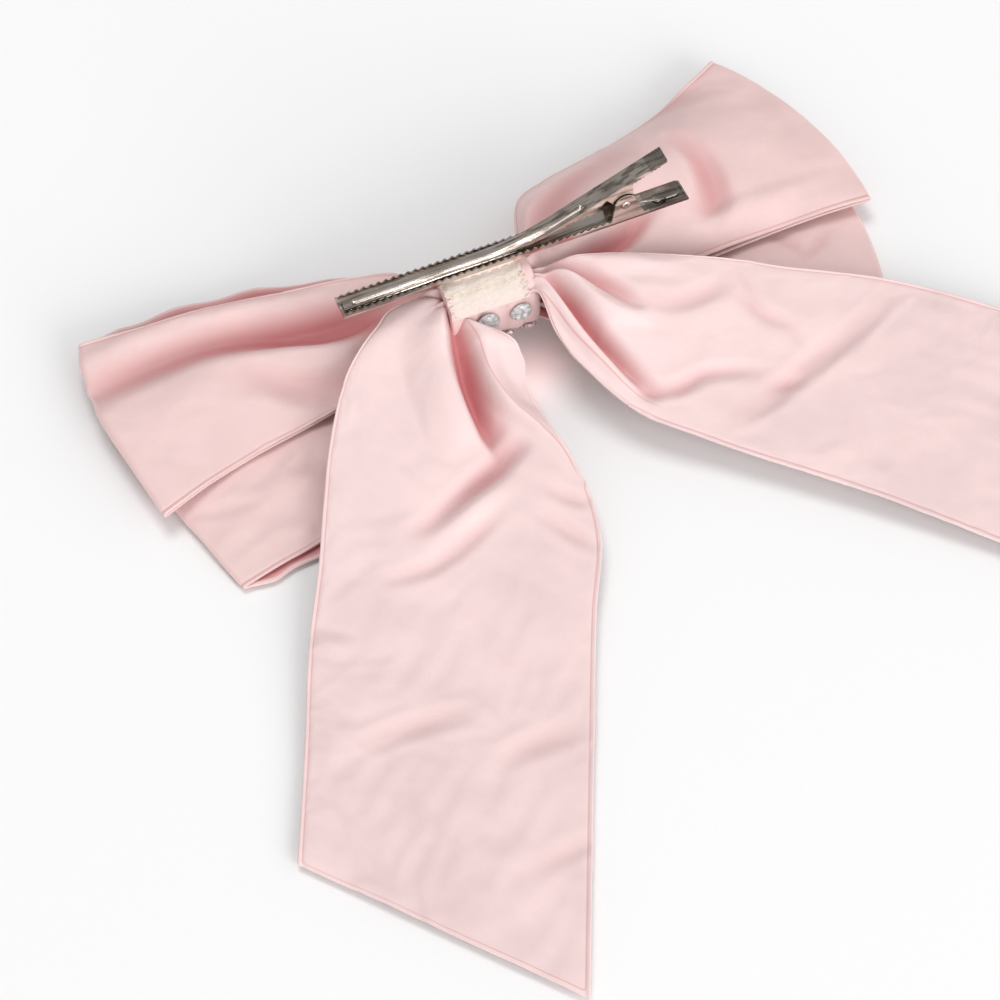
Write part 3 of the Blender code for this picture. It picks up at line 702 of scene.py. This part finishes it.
def seam_marks(surface, path):
    """Signed distance from a rolled-up seam, and where along it the seam shows."""
    shown = np.ones(len(path))
    shown[0] = 0.0
    shown[-1] = 0.0
    table = np.column_stack([np.array(path, float), shown])
    distance, side, value = nearest_on(surface.reshape(-1, 3)[:, :2], smooth_line(table, 1.0))
    signed = np.where(side > 0, distance, -distance)
    return signed.reshape(surface.shape[:2]), np.clip(2 * value, 0, 1).reshape(surface.shape[:2])


def ripple(surface, seed):
    """Gentle uneven waves over a surface, the same for the same seed."""
    total = np.zeros(surface.shape[:2])
    for k in range(6):
        turn = 2.4 * k + 1.7 * seed
        pitch = 9.0 + 4.5 * k
        phase = 1.3 * k * k + 0.9 * seed
        way = surface[..., 0] * cos(turn) + surface[..., 1] * sin(turn)
        total += np.sin(way * 2 * pi / pitch + phase) * (k + 1) / 12
    return RIPPLE_HEIGHT * total


def from_edge(places, width):
    """How far each place across a strip is from its nearer edge."""
    return np.minimum(places, width - places)


def add_hems(surface, places, width, depth=SEAM_DEPTH):
    """A slight roll at both edges, and the seam's groove just inside it."""
    near = from_edge(places, width)
    groove = -depth * np.exp(-((near - SEAM_AT) / 0.32) ** 2)
    roll = 0.18 * np.exp(-(near / 0.8) ** 2)
    surface[..., 2] += (groove + roll)[None, :]


def gathers(distance, share, count, height, reach, phase):
    """Pleats that leave the knot and die out with distance."""
    fade = np.exp(-(distance[:, None] / reach) ** 1.6)
    wave = np.cos(2 * pi * count * share[None, :] + phase + 0.35 * np.sin(distance[:, None] / 9.0))
    return height * fade * wave


def thread_uv(places, along):
    """The cloth's own coordinates: millimetres across and along it."""
    u = np.broadcast_to(places[None, :], (len(along), len(places)))
    v = np.broadcast_to(along[:, None], (len(along), len(places)))
    return np.stack([u, v], axis=2)


def loop_walls(stations, creases, seed, peak, share):
    """Places along a loop, its upper and lower walls, and how deep each upper point lies in a crease, which
    sets its painted fold shade.
    """
    along, rows = station_rows(stations)
    upper = strip_surface(rows, share, True, peak)
    lower = strip_surface(rows, share, False, peak)
    upper[..., 2] += gathers(along, share, 3.5, 1.5, 30.0, seed)
    lower[..., 2] += gathers(along, share, 3.5, 0.9, 22.0, seed + 2.0)
    deep = add_creases(upper, creases)
    upper[..., 2] += ripple(upper, seed)
    pushed = np.maximum(upper[..., 2] - LEAST_GAP, lower[..., 2] - MOST_PUSH)
    lower[..., 2] = np.minimum(lower[..., 2], pushed)
    upper[..., 2] = np.maximum(upper[..., 2], lower[..., 2] + LEAST_GAP)
    return along, upper, lower, deep


def part_edges(along, places, upper, lower, seed, far_reach, mouth):
    """Let the lower wall stand out past the upper one at both edges, and open the far mouth."""
    edge_a = np.exp(-(places / 5.0) ** 2)[None, :]
    grown = np.clip((along - 12.0) / 25.0, 0, 1) * np.clip((along[-1] - along) / 10.0, 0, 1)
    wavy = 0.8 + 0.2 * np.sin(along / 5.1 + seed) * np.sin(along / 11.0 + 1.0)
    reach = (grown * wavy)[:, None]
    lower[..., 1] += far_reach[0] * reach * edge_a
    lower[..., 1] -= far_reach[1] * reach * edge_a[:, ::-1]
    upper[..., 2] += mouth * reach * edge_a


def outer_fold(upper, lower):
    """Rows of points round a loop's outer end, from its upper wall to its lower one."""
    outward = upper[-1] - upper[-2]
    outward[:, 2] = 0
    outward /= norm(outward, axis=1)[:, None]
    middle = (upper[-1] + lower[-1]) / 2
    half = (upper[-1] - lower[-1]) / 2
    round_out = outward * norm(half, axis=1)[:, None] * 1.15
    turns = [pi * k / 7 for k in range(1, 7)]
    return np.array([middle + half * cos(turn) + round_out * sin(turn) for turn in turns])


def loop_grid(stations, creases, seed, far_reach, mouth, peak):
    """One loop of ribbon: out along its upper wall, round its end, and back along its lower wall."""
    places = hem_columns(RIBBON_WIDTH)
    along, upper, lower, deep = loop_walls(stations, creases, seed, peak, places / RIBBON_WIDTH)
    part_edges(along, places, upper, lower, seed, far_reach, mouth)
    add_hems(upper, places, RIBBON_WIDTH)
    add_hems(lower, places, RIBBON_WIDTH, -SEAM_DEPTH)
    grid = np.concatenate([upper, outer_fold(upper, lower), lower[::-1]])
    near = from_edge(places, RIBBON_WIDTH)
    # Painted shade on the lower wall, where it shows in the gap just past each edge of the upper wall.
    shade = np.clip((near - 0.8) / 0.9, 0, 1) * np.clip((16 - near) / 6.0, 0, 1)
    fold = np.zeros(grid.shape[:2])
    fold[: len(deep)] = deep
    fold[-len(deep):] = shade[None, :]
    return grid, places, fold


def make_loop(name, stations, creases, seed, far_reach, mouth, peak, material):
    grid, places, fold = loop_grid(stations, creases, seed, far_reach, mouth, peak)
    path = chord_lengths(grid[:, len(places) // 2])
    edge = np.broadcast_to(from_edge(places, RIBBON_WIDTH)[None, :], grid.shape[:2])
    if stations[-1][0][0] > 0:
        grid = grid[:, ::-1]
        fold = fold[:, ::-1]
    rows, cols = grid.shape[:2]
    half = hold_weights(rows // 2 + 1, cols)
    hold = np.concatenate([half, half[: rows - len(half)][::-1]])
    made = grid_object(name, grid, material, thread_uv(places, path), edge_mm=edge, fold=fold)
    return made, hold


def make_tail(name, stations, creases, seam, seed, pleats, material):
    """A tail: one ribbon of two layers sewn together round its edges."""
    along, rows = station_rows(stations)
    places = hem_columns(TAIL_WIDTH)
    share = places / TAIL_WIDTH
    surface = strip_surface(rows, share, True)
    surface[..., 2] += gathers(along, share, pleats, 0.7, 26.0, seed)
    deep = add_creases(surface, creases)
    loose = np.clip(along / 60.0, 0.2, 1.0)[:, None]
    surface[..., 2] += loose * ripple(surface, seed)
    add_hems(surface, places, TAIL_WIDTH)
    from_end = along[-1] - along
    surface[..., 2] += (-SEAM_DEPTH * np.exp(-((from_end - SEAM_AT) / 0.7) ** 2))[:, None]
    signed, shown = seam_marks(surface, seam)
    hidden = 4.0 * np.clip((SEAM_HIDDEN_TO - along) / 8.0, 0, 1)
    near = np.minimum(places[None, :], TAIL_WIDTH - places[None, :] + hidden[:, None])
    edge = np.minimum(near, from_end[:, None])
    # The crease depth is kept as the painted fold shade.
    made = grid_object(name, surface, material, thread_uv(places, along),
                       edge_mm=edge, fold=deep, seam_mm=signed, seam_on=shown)
    return made, hold_weights(*surface.shape[:2])


def positions(mesh):
    values = np.empty(len(mesh.vertices) * 3)
    mesh.vertices.foreach_get("co", values)
    return values.reshape(-1, 3)


def simulated(made, hold):
    """Where the cloth simulation takes a piece's points, each held to its place by its weight."""
    group = made.vertex_groups.new(name="hold")
    for index, weight in enumerate(hold.ravel()):
        group.add([index], float(weight), "REPLACE")
    cloth = made.modifiers.new("cloth", "CLOTH")
    for key, value in CLOTH_SETTINGS.items():
        setattr(cloth.settings, key, value)
    cloth.settings.effector_weights.gravity = 0.0
    cloth.collision_settings.use_collision = False
    cloth.point_cache.frame_start = 1
    cloth.point_cache.frame_end = CLOTH_FRAMES
    scene = bpy.context.scene
    for number in range(1, CLOTH_FRAMES + 1):
        scene.frame_set(number)
    after = positions(made.evaluated_get(bpy.context.evaluated_depsgraph_get()).data)
    made.modifiers.remove(cloth)
    made.vertex_groups.remove(group)
    scene.frame_set(1)
    return after


def relax(made, hold):
    """Let a piece crumple as cloth: it grows a little, and no point moves by more than the cap."""
    before = positions(made.data)
    move = simulated(made, hold) - before
    length = norm(move, axis=1)
    cap = CLOTH_CAP * MM
    kept = cap * np.tanh(length / cap) / np.maximum(length, 1e-9)
    made.data.vertices.foreach_set("co", (before + move * kept[:, None]).ravel())
    made.data.update()


def hold_weights(rows, cols):
    """How firmly each point keeps its drawn place: fully at the knot, less along the hems, least inside."""
    from_root = np.clip(np.arange(rows) / HELD_ROWS, 0, 1)[:, None]
    col = from_edge(np.arange(cols), cols - 1)[None, :]
    from_hem = np.clip((col - 2) / 6.0, 0, 1)
    weight = 1 - from_root * (1 - LEAST_HOLD - 0.4 * (1 - from_hem))
    return np.clip(weight, 0, 1)


def thicken(made, thickness):
    """Give a surface the thickness of two sewn layers, rounded at its rim."""
    solid = made.modifiers.new("layers", "SOLIDIFY")
    solid.thickness = thickness * MM
    solid.offset = -1.0
    smooth = made.modifiers.new("smooth", "SUBSURF")
    smooth.levels = 1
    smooth.render_levels = 1


def face_up(made):
    """Turn the surface so that most of its upper side faces +Z."""
    mesh = made.data
    if sum(face.normal.z * face.area for face in mesh.polygons[: len(mesh.polygons) // 3]) < 0:
        mesh.flip_normals()
    return made


# Knot.

def around_knot(angle_deg, off=0.0):
    """Point on the knot's rounded cross-section, off its surface by off."""
    angle = radians(angle_deg)
    c = cos(angle)
    s = sin(angle)
    power = 2 / KNOT_SQUARENESS
    y = copysign(abs(c) ** power, c)
    z = copysign(abs(s) ** power, s)
    slope = KNOT_SQUARENESS - 1
    out = np.array([0.0, copysign(abs(y) ** slope, c) / KNOT_HALF_Y,
                    copysign(abs(z) ** slope, s) / KNOT_HALF_Z])
    out /= norm(out)
    return np.array([0.0, KNOT_MID_Y + KNOT_HALF_Y * y, KNOT_MID_Z + KNOT_HALF_Z * z]) + out * off


def make_wrap(material):
    """The band round the knot, folded over at both mouths, with soft pleats running round it."""
    turns = 120
    mouth = [(-10.6, -1.7), (-11.6, -1.7), (-12.3, -1.3), (-12.6, -0.75), (-12.3, -0.15)]
    middle = [(x, 0.0) for x in np.linspace(-11.6, 11.6, 34)]
    profile = np.array(mouth + middle + [(-x, off) for x, off in mouth[::-1]])
    grid = np.empty((turns, len(profile), 3))
    for i in range(turns):
        angle = 360 * i / turns
        bend = radians(angle)
        for j, (x, off) in enumerate(profile):
            pleat = 0.30 * cos(x * 2 * pi / 6.4 + 0.9 * sin(bend) + 0.6)
            pleat += 0.16 * cos(x * 2 * pi / 3.3 + 1.4 * cos(bend + 0.5))
            inside = max(0.0, 1 - abs(x) / 12.0)
            point = around_knot(angle, off + pleat * min(1.0, inside * 4) - 0.25)
            grid[i, j] = point + np.array([x, 0.0, 0.0])
    around = np.linspace(0, 62, turns)
    places = profile[:, 0] + 13
    edge = np.minimum(13 - np.abs(profile[:, 0]), 9.0) + 0.6
    edge = np.broadcast_to(edge[None, :], grid.shape[:2])
    threads = thread_uv(places, around)
    made = grid_object("knot_band", grid, material, threads, closed=True, edge_mm=edge)
    thicken(made, 0.35)
    return made


def make_label(material):
    """Woven tape on the knot's back: slightly loose, puckered where it is tacked at both ends."""
    places = np.linspace(-LABEL_HALF, LABEL_HALF, 60)
    angles = np.linspace(LABEL_FROM_DEG, LABEL_TO_DEG, 30)
    grid = np.empty((len(angles), len(places), 3))
    for i, angle in enumerate(angles):
        for j, x in enumerate(places):
            end = abs(x) / LABEL_HALF
            pucker = 0.28 * end ** 6 * sin(i * 0.9 + x) + 0.12 * sin(x * 0.7 + i * 0.21)
            lift = 0.62 + pucker + 0.25 * (1 - end ** 2)
            fray = 0.25 * sin(i * 2.7) * (end > 0.985)
            shift = x * (1 + 0.012 * sin(i * 0.5)) + fray + LABEL_SHIFT
            grid[i, j] = around_knot(angle, lift) + np.array([shift, 0.0, 0.0])
    along = np.linspace(0, 11.5, len(angles))
    made = grid_object("tape_label", grid, material, thread_uv(places + 12, along))
    thicken(made, 0.3)
    return made


def make_tack(side, material):
    """Zigzag stitches over one end of the label."""
    corners = []
    for k in range(9):
        reach = 0.75 if k % 2 else -0.75
        spot = around_knot(105 + 5.6 * k, 1.25 if k % 2 else 1.15)
        corners.append(spot + np.array([side * (LABEL_HALF - 0.7 + reach) + LABEL_SHIFT, 0.0, 0.0]))
    name = "tack_thread_left" if side < 0 else "tack_thread_right"
    return tube_object(name, smooth_line(corners, 0.25), 0.13, material, sides=8)


def stone_pose(points):
    """A CAD stone's centre, its way out of the knot, its base and height that way, and its radius."""
    centre = points.mean(axis=0)
    spread = points - centre
    knot_line = KNOT + np.array([0.0, KNOT_MID_Y, KNOT_MID_Z]) * MM
    out = np.linalg.svd(spread, full_matrices=False)[2][2]
    if np.dot(out, (centre - knot_line) * (0, 1, 1)) < 0:
        out = -out
    levels = spread @ out
    radius = norm(spread - np.outer(levels, out), axis=1).max() * 0.985
    return centre, out, levels.min(), levels.max() - levels.min(), radius


def make_stone(number, crystal, foil):
    """A round brilliant-cut stone over its foil-backed cup, where the CAD stone is."""
    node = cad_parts[f"stone_{number:02d}"]
    points = np.array([node.matrix_world @ v.co for v in node.data.vertices])
    centre, out, base, height, radius = stone_pose(points)
    side = np.array([1.0, 0.0, 0.0]) - out * out[0]
    side /= norm(side)
    other = np.cross(out, side)
    shape = bmesh.new()
    for share, level, sides, turn in STONE_RINGS:
        for k in range(sides):
            angle = 2 * pi * (k + turn) / sides
            flat = side * cos(angle) + other * sin(angle)
            shape.verts.new(centre + flat * share * radius + out * (base + level * height))
    bmesh.ops.convex_hull(shape, input=shape.verts)
    bmesh.ops.recalc_face_normals(shape, faces=shape.faces)
    way = Vector(out)
    for face in shape.faces:
        face.material_index = 1 if face.normal.dot(way) < -0.2 else 0
    made = link(f"crystal_{number:02d}", shape_mesh(f"crystal_{number:02d}", shape))
    made.data.materials.append(crystal)
    made.data.materials.append(foil)
    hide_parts(node.name)
    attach(made, "bow")


# Clip.

def refined(node, name, material, bevel):
    """A copy of a pressed steel part with its edges slightly rounded."""
    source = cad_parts[node]
    mesh = source.data.copy()
    mesh.name = name
    made = link(name, mesh, material)
    made.matrix_world = source.matrix_world
    mesh.shade_smooth()
    mesh.set_sharp_from_angle(angle=radians(32))
    rounding = made.modifiers.new("rounding", "BEVEL")
    rounding.width = bevel * MM
    rounding.segments = 2
    rounding.limit_method = "ANGLE"
    rounding.use_clamp_overlap = False
    rounding.angle_limit = radians(32)
    rounding.harden_normals = True
    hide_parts(node)
    return made


def on_clip(u, y, w):
    """Knot-frame place of a point given along, across and above the lower jaw."""
    slope = radians(CLIP_SLOPE_DEG)
    return np.array([CLIP_TIP[0] + u * cos(slope) - w * sin(slope), CLIP_TIP[1] + y,
                     CLIP_TIP[2] + u * sin(slope) + w * cos(slope)])


def upper_top(u):
    """Height of the upper jaw's top face: nearly flat, one long bend, then a straight rise."""
    if u <= BEND_START_U:
        return UPPER_TIP_W + FRONT_RISE * (u - UPPER_TIP_U)
    start = UPPER_TIP_W + FRONT_RISE * (BEND_START_U - UPPER_TIP_U)
    span = BEND_END_U - BEND_START_U
    into = min(u, BEND_END_U) - BEND_START_U
    bent = start + FRONT_RISE * into + (BACK_RISE - FRONT_RISE) * into ** 2 / (2 * span)
    return bent + BACK_RISE * max(0.0, u - BEND_END_U)


def make_bar(name, start, end, top, half, height, steel):
    """A long rounded bar pressed up out of the steel, with round ends and a flat crown."""
    side = [(1.0, 0.02), (0.96, 0.25), (0.88, 0.70), (0.78, 0.93), (0.62, 1.0)]
    profile = [(-y, h) for y, h in side] + [(0.0, 1.0)] + side[::-1]
    lead = np.array([0.0, 0.08, 0.25, 0.55, 0.9, 1.3])
    middle = np.linspace(start + 2.2, end - 2.2, max(6, round((end - start) / 1.1)))
    rows = []
    for u in np.concatenate([start + lead, middle, end - lead[::-1]]):
        inside = min(u - start, end - u, 1.3) / 1.3
        share = sqrt(max(0.0, 1 - (1 - inside) ** 2))
        rows.append([on_clip(u, y * share * half, top(u) + 0.02 + h * height * min(1.0, 0.1 + share))
                     for y, h in profile])
    bar = grid_object(name, np.array(rows), steel)
    return bar


def make_rivet(steel):
    """The rivet, with a rolled rim and a dimple in each head."""
    half = 3.36
    side = [(half + 0.16, 0.0), (half + 0.16, 0.34), (half + 0.34, 0.55), (half + 0.38, 0.80),
            (half + 0.30, 1.08), (half + 0.12, 1.30), (half, 1.34), (half - 0.02, 0.9)]
    profile = [(-y, radius) for y, radius in side] + side[::-1]
    rows = []
    for k in range(48):
        angle = 2 * pi * k / 48
        rows.append([on_clip(PIVOT_U + r * cos(angle), y, PIVOT_W + r * sin(angle))
                     for y, r in profile])
    rivet = grid_object("rivet", np.array(rows), steel, closed=True)
    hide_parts("hinge_pin")
    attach(rivet, "bow")


def tangent_deg(end, side):
    """Angle at which a straight leg to end leaves the coil."""
    return degrees(atan2(end[1], end[0]) + side * acos(SPRING_RADIUS / hypot(*end)))


def make_spring(steel):
    """The coil round the rivet.  Its lower leg keeps to the lower handle and its upper leg to the upper."""
    start = tangent_deg(LOWER_LEG_END, -1)
    finish = tangent_deg(UPPER_LEG_END, 1) - 360 * (SPRING_TURNS + 1)
    angles = np.radians(np.linspace(start, finish, 161))
    coil = SPRING_RADIUS * np.column_stack([np.cos(angles), np.sin(angles)])
    share = np.arange(8)[:, None] / 8
    lower = LOWER_LEG_END + (coil[0] - LOWER_LEG_END) * share
    upper = UPPER_LEG_END + (coil[-1] - UPPER_LEG_END) * share[::-1]
    across = np.pad(np.linspace(-SPRING_HALF, SPRING_HALF, len(coil)), len(share), "edge")
    path = [on_clip(PIVOT_U + u, y, PIVOT_W + w) for (u, w), y in zip([*lower, *coil, *upper], across)]
    spring = tube_object("coil_spring", path, SPRING_WIRE, steel, sides=12)
    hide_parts("torsion_spring")
    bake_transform(spring)


def make_glue(material):
    """The bead of adhesive under the lower jaw, uneven along its edges."""
    length = 23.0
    middle_y = CLIP_TIP[1] + 0.3
    low = KNOT_MID_Z + KNOT_HALF_Z + 0.1
    slope = tan(radians(CLIP_SLOPE_DEG))
    rows = []
    for k in range(61):
        share = 2 * k / 60 - 1
        x = share * length / 2
        half = 3.1 * (1 - 0.5 * share ** 4) + 0.2 * sin(0.8 * k) + 0.12 * sin(1.7 * k + 1)
        high = CLIP_TIP[2] + (x - CLIP_TIP[0]) * slope - 0.05
        ring = []
        for j in range(20):
            angle = 2 * pi * j / 20
            squash = copysign(abs(sin(angle)) ** 0.7, sin(angle))
            ring.append((x, middle_y + half * cos(angle), (low + high) / 2 + (high - low) / 2 * squash))
        ring.append(ring[0])
        rows.append(ring)
    bead = grid_object("adhesive_bead", np.array(rows), material)
    cleaned = bmesh.new()
    cleaned.from_mesh(bead.data)
    bmesh.ops.remove_doubles(cleaned, verts=cleaned.verts, dist=0.00001)
    bmesh.ops.holes_fill(cleaned, edges=cleaned.edges)
    bmesh.ops.recalc_face_normals(cleaned, faces=cleaned.faces)
    cleaned.to_mesh(bead.data)
    cleaned.free()
    bead.data.shade_smooth()
    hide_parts("glue_bead")
    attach(bead, "bow")


# Stage.

def make_floor():
    shape = bmesh.new()
    bmesh.ops.create_grid(shape, x_segments=2, y_segments=2, size=FLOOR_HALF)
    floor = link("floor", shape_mesh("floor", shape), floor_material())
    floor.location.z = FLOOR_LEVEL


def add_light(name, location, size, energy, colour=(1.0, 1.0, 1.0)):
    """A round area light that shines straight down."""
    data = bpy.data.lights.new(name, "AREA")
    data.shape = "DISK"
    data.size = size
    data.energy = energy
    data.color = colour
    light = link(name, data)
    light.location = location
    return light


def aim_at_middle(light):
    light.rotation_euler = (-light.location).to_track_quat("-Z", "Y").to_euler()


def make_bounce():
    """The pink light that satin lets through and throws back onto the ground between the tails."""
    light = add_light("satin_bounce", at((5.5, -10.0, 12.0)), 0.02, 0.0006, (1.0, 0.55, 0.53))
    light.data.spread = radians(100)
    light.visible_camera = False
    light.visible_glossy = False


def make_world():
    """Soft studio surroundings, darkest towards the studio's unlit side."""
    world = bpy.data.worlds.new("studio")
    world.use_nodes = True
    tree = world.node_tree
    where = add_node(tree, "TexCoord").outputs["Generated"]
    towards = add_node(tree, "VectorMath", {0: where, 1: DARK_SIDE}, operation="DOT_PRODUCT")
    shade = tree.nodes["Background"].inputs
    shade["Color"].default_value = (1.0, 1.0, 1.0, 1.0)
    feed(tree, shade["Strength"], mapped(tree, towards.outputs["Value"], -0.2, 0.8, 1.3, 0.32))
    bpy.context.scene.world = world


def make_camera():
    azimuth = radians(CAMERA_AZIMUTH)
    elevation = radians(CAMERA_ELEVATION)
    back = Vector((sin(azimuth) * cos(elevation), -cos(azimuth) * cos(elevation),
                   sin(elevation)))
    data = bpy.data.cameras.new("camera")
    data.lens = CAMERA_LENS
    data.sensor_width = 36.0
    camera = link("camera", data)
    camera.location = (Vector(CAMERA_TARGET) + back * CAMERA_DISTANCE) * MM
    camera.rotation_euler = back.to_track_quat("Z", "Y").to_euler()
    bpy.context.scene.camera = camera


def make_studio():
    make_world()
    make_floor()
    aim_at_middle(add_light("overhead", (-0.2, 0.75, 2.7), 1.4, 28.0))
    aim_at_middle(add_light("front_fill", (0.5, -2.2, 1.0), 1.5, 28.0))
    make_bounce()
    make_camera()
    bpy.context.scene.view_settings.view_transform = "Standard"


def make_loops(cloth):
    """The four loops.  Each is one length of ribbon, there and back; the given length in metres is not used.
    """
    loops = [
        ("back_loop_left", 0.195, BACK_LEFT, BACK_LEFT_CREASES, 1.0, (6.4, 0.0), 1.0, 0.25),
        ("back_loop_right", 0.205, BACK_RIGHT, BACK_RIGHT_CREASES, 2.0, (1.0, 0.0), 0.3, 0.5),
        ("front_loop_left", 0.185, FRONT_LEFT, FRONT_LEFT_CREASES, 3.0, (1.0, 3.6), 0.3, 0.5),
        ("front_loop_right", 0.205, FRONT_RIGHT, FRONT_RIGHT_CREASES, 4.0, (1.0, 0.5), 0.3, 0.5),
    ]
    for name, length, *shape in loops:
        loop, hold = make_loop(name, *shape, cloth)
        relax(face_up(loop), hold)
        thicken(loop, FABRIC_THICKNESS)
        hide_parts("back_bow" if name.startswith("back") else "front_bow")
        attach(loop, "bow")


def make_tails(cloth):
    """The two tails, each with its long and short side in metres, its root, and its heading in degrees."""
    tails = [
        ("left_tail", "tail_left", 0.207, 0.172, (-14.0, -4.5, 24.5), -116.0,
         TAIL_LEFT, TAIL_LEFT_CREASES, TAIL_LEFT_SEAM, 5.0, 2.5),
        ("right_tail", "tail_right", 0.193, 0.172, (14.6, -2.6, 24.5), -45.0,
         TAIL_RIGHT, TAIL_RIGHT_CREASES, TAIL_RIGHT_SEAM, 6.0, 3.0),
    ]
    for name, node, long_side, short_side, root, heading, *shape in tails:
        tail, hold = make_tail(name, *shape, cloth)
        relax(face_up(tail), hold)
        thicken(tail, FABRIC_THICKNESS * 1.2)
        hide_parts(node)
        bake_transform(tail)


def make_knot(satin, thread):
    wrap = make_wrap(satin)
    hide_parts("knot_wrap")
    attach(wrap, "bow")
    label = face_up(make_label(label_material()))
    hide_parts("woven_label")
    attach(label, "bow")
    for side, node in ((-1, "label_tack_left"), (1, "label_tack_right")):
        tack = make_tack(side, thread)
        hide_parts(node)
        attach(tack, "bow")
    crystal = crystal_material()
    foil = foil_material()
    for number in range(1, 12):
        make_stone(number, crystal, foil)
    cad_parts["gather_thread"].data.materials.clear()
    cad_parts["gather_thread"].data.materials.append(thread)
    make_glue(glue_material())


def make_clip(steel):
    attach(refined("lower_jaw", "pressed_lower_jaw", steel, 0.13), "bow")
    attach(refined("upper_jaw", "pressed_upper_jaw", steel, 0.2), "upper_jaw")
    rib = make_bar("pressed_rib", RIB_START_U, RIB_END_U, upper_top, 1.35, 0.62, steel)
    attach(rib, "upper_jaw")
    pad = make_bar("pressed_pad", PAD_START_U, PAD_END_U, lambda u: HANDLE_TOP_W, 1.3, 0.3, steel)
    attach(pad, "bow")
    make_rivet(steel)
    make_spring(steel)


make_studio()
loop_satin = satin_material("loop_satin", LOOP_SATIN)
tail_satin = satin_material("tail_satin", TAIL_SATIN)
sewing_thread = thread_material()
nickel_steel = steel_material()
make_loops(loop_satin)
make_tails(tail_satin)
make_knot(loop_satin, sewing_thread)
make_clip(nickel_steel)
